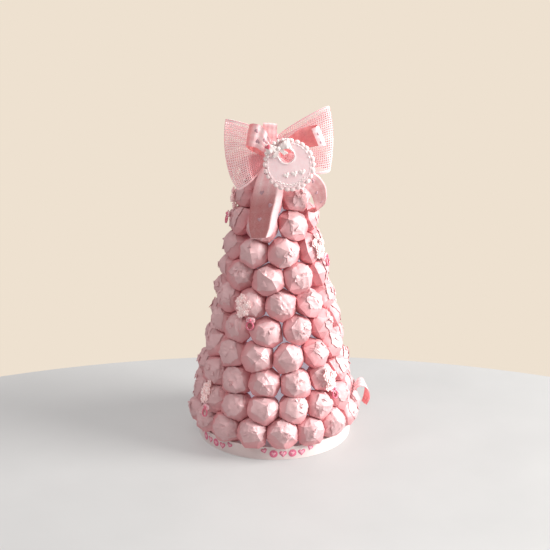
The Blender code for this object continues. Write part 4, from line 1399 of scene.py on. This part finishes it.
def add_toppings(lace, white, plastic, rose, tree):
    """Each flower's spray and pearls, and its charm, settled on the balls."""
    for number, (degrees, height) in enumerate(TOPPINGS, start=1):
        rng = random.Random(300 + number)
        spray, pearls = Parts(), Parts()
        for x, y, size in BLOSSOMS:
            x += rng.uniform(-1, 1)
            level = (height + y) * MM
            angle = radians(degrees) + x * MM / (cone_radius(level) + BALL_RADIUS)
            spin = Matrix.Rotation(rng.uniform(0, SPIN), 4, "Z")
            placed = topping_frame(angle, level) @ spin
            blossom, pearl = blossom_parts(rng, size)
            points = placed_by(placed, blossom)
            moved = settle(points, -cone_frame(angle)[2], tree, BLOSSOM_SINK)
            spray.add(moved, blossom.faces)
            pearls.add(placed_by(placed, pearl) + (moved[0] - points[0]), pearl.faces)
        name = f"lace_flower_{number:02d}"
        spray.build("blossoms_" + name, lace, "lace", [name])
        pearls.build("pearls_" + name, white, "lace")

        level = height * MM - CHARM_DROP
        angle = radians(degrees)
        angle += CHARM_SWAY / (cone_radius(level) + BALL_RADIUS)
        placed = topping_frame(angle, level) @ Matrix.Translation((0, 3.0 * MM, 0))
        body, ring = charm_parts()
        points = np.concatenate([placed_by(placed, body), placed_by(placed, ring)])
        points = settle(points, -cone_frame(angle)[2], tree)
        shield, held = points[: body.count], points[body.count :]
        name = f"pacifier_charm_{number:02d}"
        add_piece("moulded_" + name, shield, body.faces, plastic, "pink_plastic", [name])
        add_piece("ring_" + name, held, ring.faces, rose, "pink_plastic")


def add_side_loop(material, tree):
    width, looks = SIDE_LOOP_WIDTH, {"pleats": 1.5, "both": True, "buckle": 0.0}
    points, faces, values, whole = ribbon_strip(SIDE_LOOP, width, 56, 12, **looks)
    points = settle(points, Vector((-1, 0, 0)), tree, GAP)
    look = (material, "satin_ribbon", ["side_loop"])
    loop = add_piece("side_loop_ribbon", points, faces, *look, values, sharp=50)


# ---------------------------------------------------------------- stage

FLOOR_RADIUS = 0.8
FLOOR_BACK = 0.2  # its far edge, behind the tower
WALL = (238, 225, 208)
SKY, SKY_STRENGTH = (1.0, 0.985, 0.97, 1.0), 0.29
# Name, place, target, size, power in watts and colour
LIGHTS = (
    ("window", (1.69, -0.3, 0.93), (0, 0, 0.16), 1.2, 76.0, (0.99, 0.99, 0.97)),
    ("ceiling", (-0.2, -0.2, 2.2), (0, 0, 0), 2.0, 15.0, (1.0, 0.96, 0.94)),
    ("fill", (-1.3, -0.6, 1.2), (0, 0, 0.16), 0.4, 5.5, (1.0, 0.88, 0.88)),
)
CAMERA_PLACE = (0.0005, -1.4584, 0.6677)
CAMERA_DOWN = 18.9  # degrees


def add_object(name, data):
    obj = bpy.data.objects.new(name, data)
    bpy.context.scene.collection.objects.link(obj)
    return obj


def add_stage():
    bm = bmesh.new()
    bmesh.ops.create_circle(bm, cap_ends=True, segments=160, radius=FLOOR_RADIUS)
    bmesh.ops.translate(bm, verts=bm.verts, vec=(0, FLOOR_BACK - FLOOR_RADIUS, 0))
    mesh = bpy.data.meshes.new("floor")
    bm.to_mesh(mesh)
    bm.free()
    m = Nodes("pale_floor", 0.5, Specular_IOR_Level=0.4, Emission_Strength=0.26)
    tone = m.mix(m.cloud(6, 4, 0.35), (158, 157, 156), (151, 150, 149))
    mesh.materials.append(m.finish(tone))
    add_object("floor", mesh)


def add_world():
    """The camera sees a plain wall colour, and everything else a softer white."""
    world = bpy.data.worlds.new("studio")
    bpy.context.scene.world = world
    world.use_nodes = True
    nodes, link = world.node_tree.nodes, world.node_tree.links.new
    shown = nodes["Background"]
    shown.inputs["Color"].default_value = linear(*WALL)
    soft = nodes.new("ShaderNodeBackground")
    soft.inputs["Color"].default_value = SKY
    soft.inputs["Strength"].default_value = SKY_STRENGTH
    path, mix = nodes.new("ShaderNodeLightPath"), nodes.new("ShaderNodeMixShader")
    for k, source in enumerate((path.outputs["Is Camera Ray"], soft.outputs[0], shown.outputs[0])):
        link(source, mix.inputs[k])
    link(mix.outputs[0], nodes["World Output"].inputs[0])


def add_lights():
    for name, place, target, size, power, colour in LIGHTS:
        data = bpy.data.lights.new(name, "AREA")
        data.shape = "DISK"
        data.size, data.energy, data.color = size, power, colour
        light = add_object(name, data)
        light.location = place
        way = Vector(target) - Vector(place)
        light.rotation_euler = way.to_track_quat("-Z", "Y").to_euler()


def add_camera():
    data = bpy.data.cameras.new("camera")
    data.lens, data.sensor_width, data.clip_end = 100.0, 36.0, 20.0
    camera = add_object("camera", data)
    camera.location = CAMERA_PLACE
    camera.rotation_euler = (radians(90 - CAMERA_DOWN), 0, 0)
    bpy.context.scene.camera = camera
    bpy.context.scene.view_settings.view_transform = "Standard"


def main():
    add_stage()
    add_world()
    add_lights()
    add_camera()

    satin = satin_material()
    white = lace_material("white_resin", (246, 226, 224), (253, 243, 240))
    tree = tree_of(add_balls(foil_material()))
    add_base(board_material(), printed_ribbon_material(), foam_material())
    add_drum_print(
        print_material("print_deep", (222, 112, 142), (232, 142, 165)),
        print_material("print_pale", (240, 172, 188), (246, 204, 213)),
    )
    add_net_bow(net_material())
    add_satin_bow(satin, print_material("satin_ink", (190, 146, 156), (212, 178, 186)))
    lace = lace_material("bib_lace", (240, 205, 206), (252, 236, 234))
    rose = print_material("rose_paint", (206, 96, 112), (226, 128, 142))
    add_bib(resin_material(), lace, white, rose)
    add_toppings(
        lace_material("blossom_lace", (233, 200, 200), (246, 224, 222), 0.12),
        white,
        plastic_material("pale_plastic", (232, 176, 186), (243, 204, 208)),
        plastic_material("rose_plastic", (216, 98, 126), (232, 132, 152)),
        tree,
    )
    add_side_loop(satin, tree)


main()
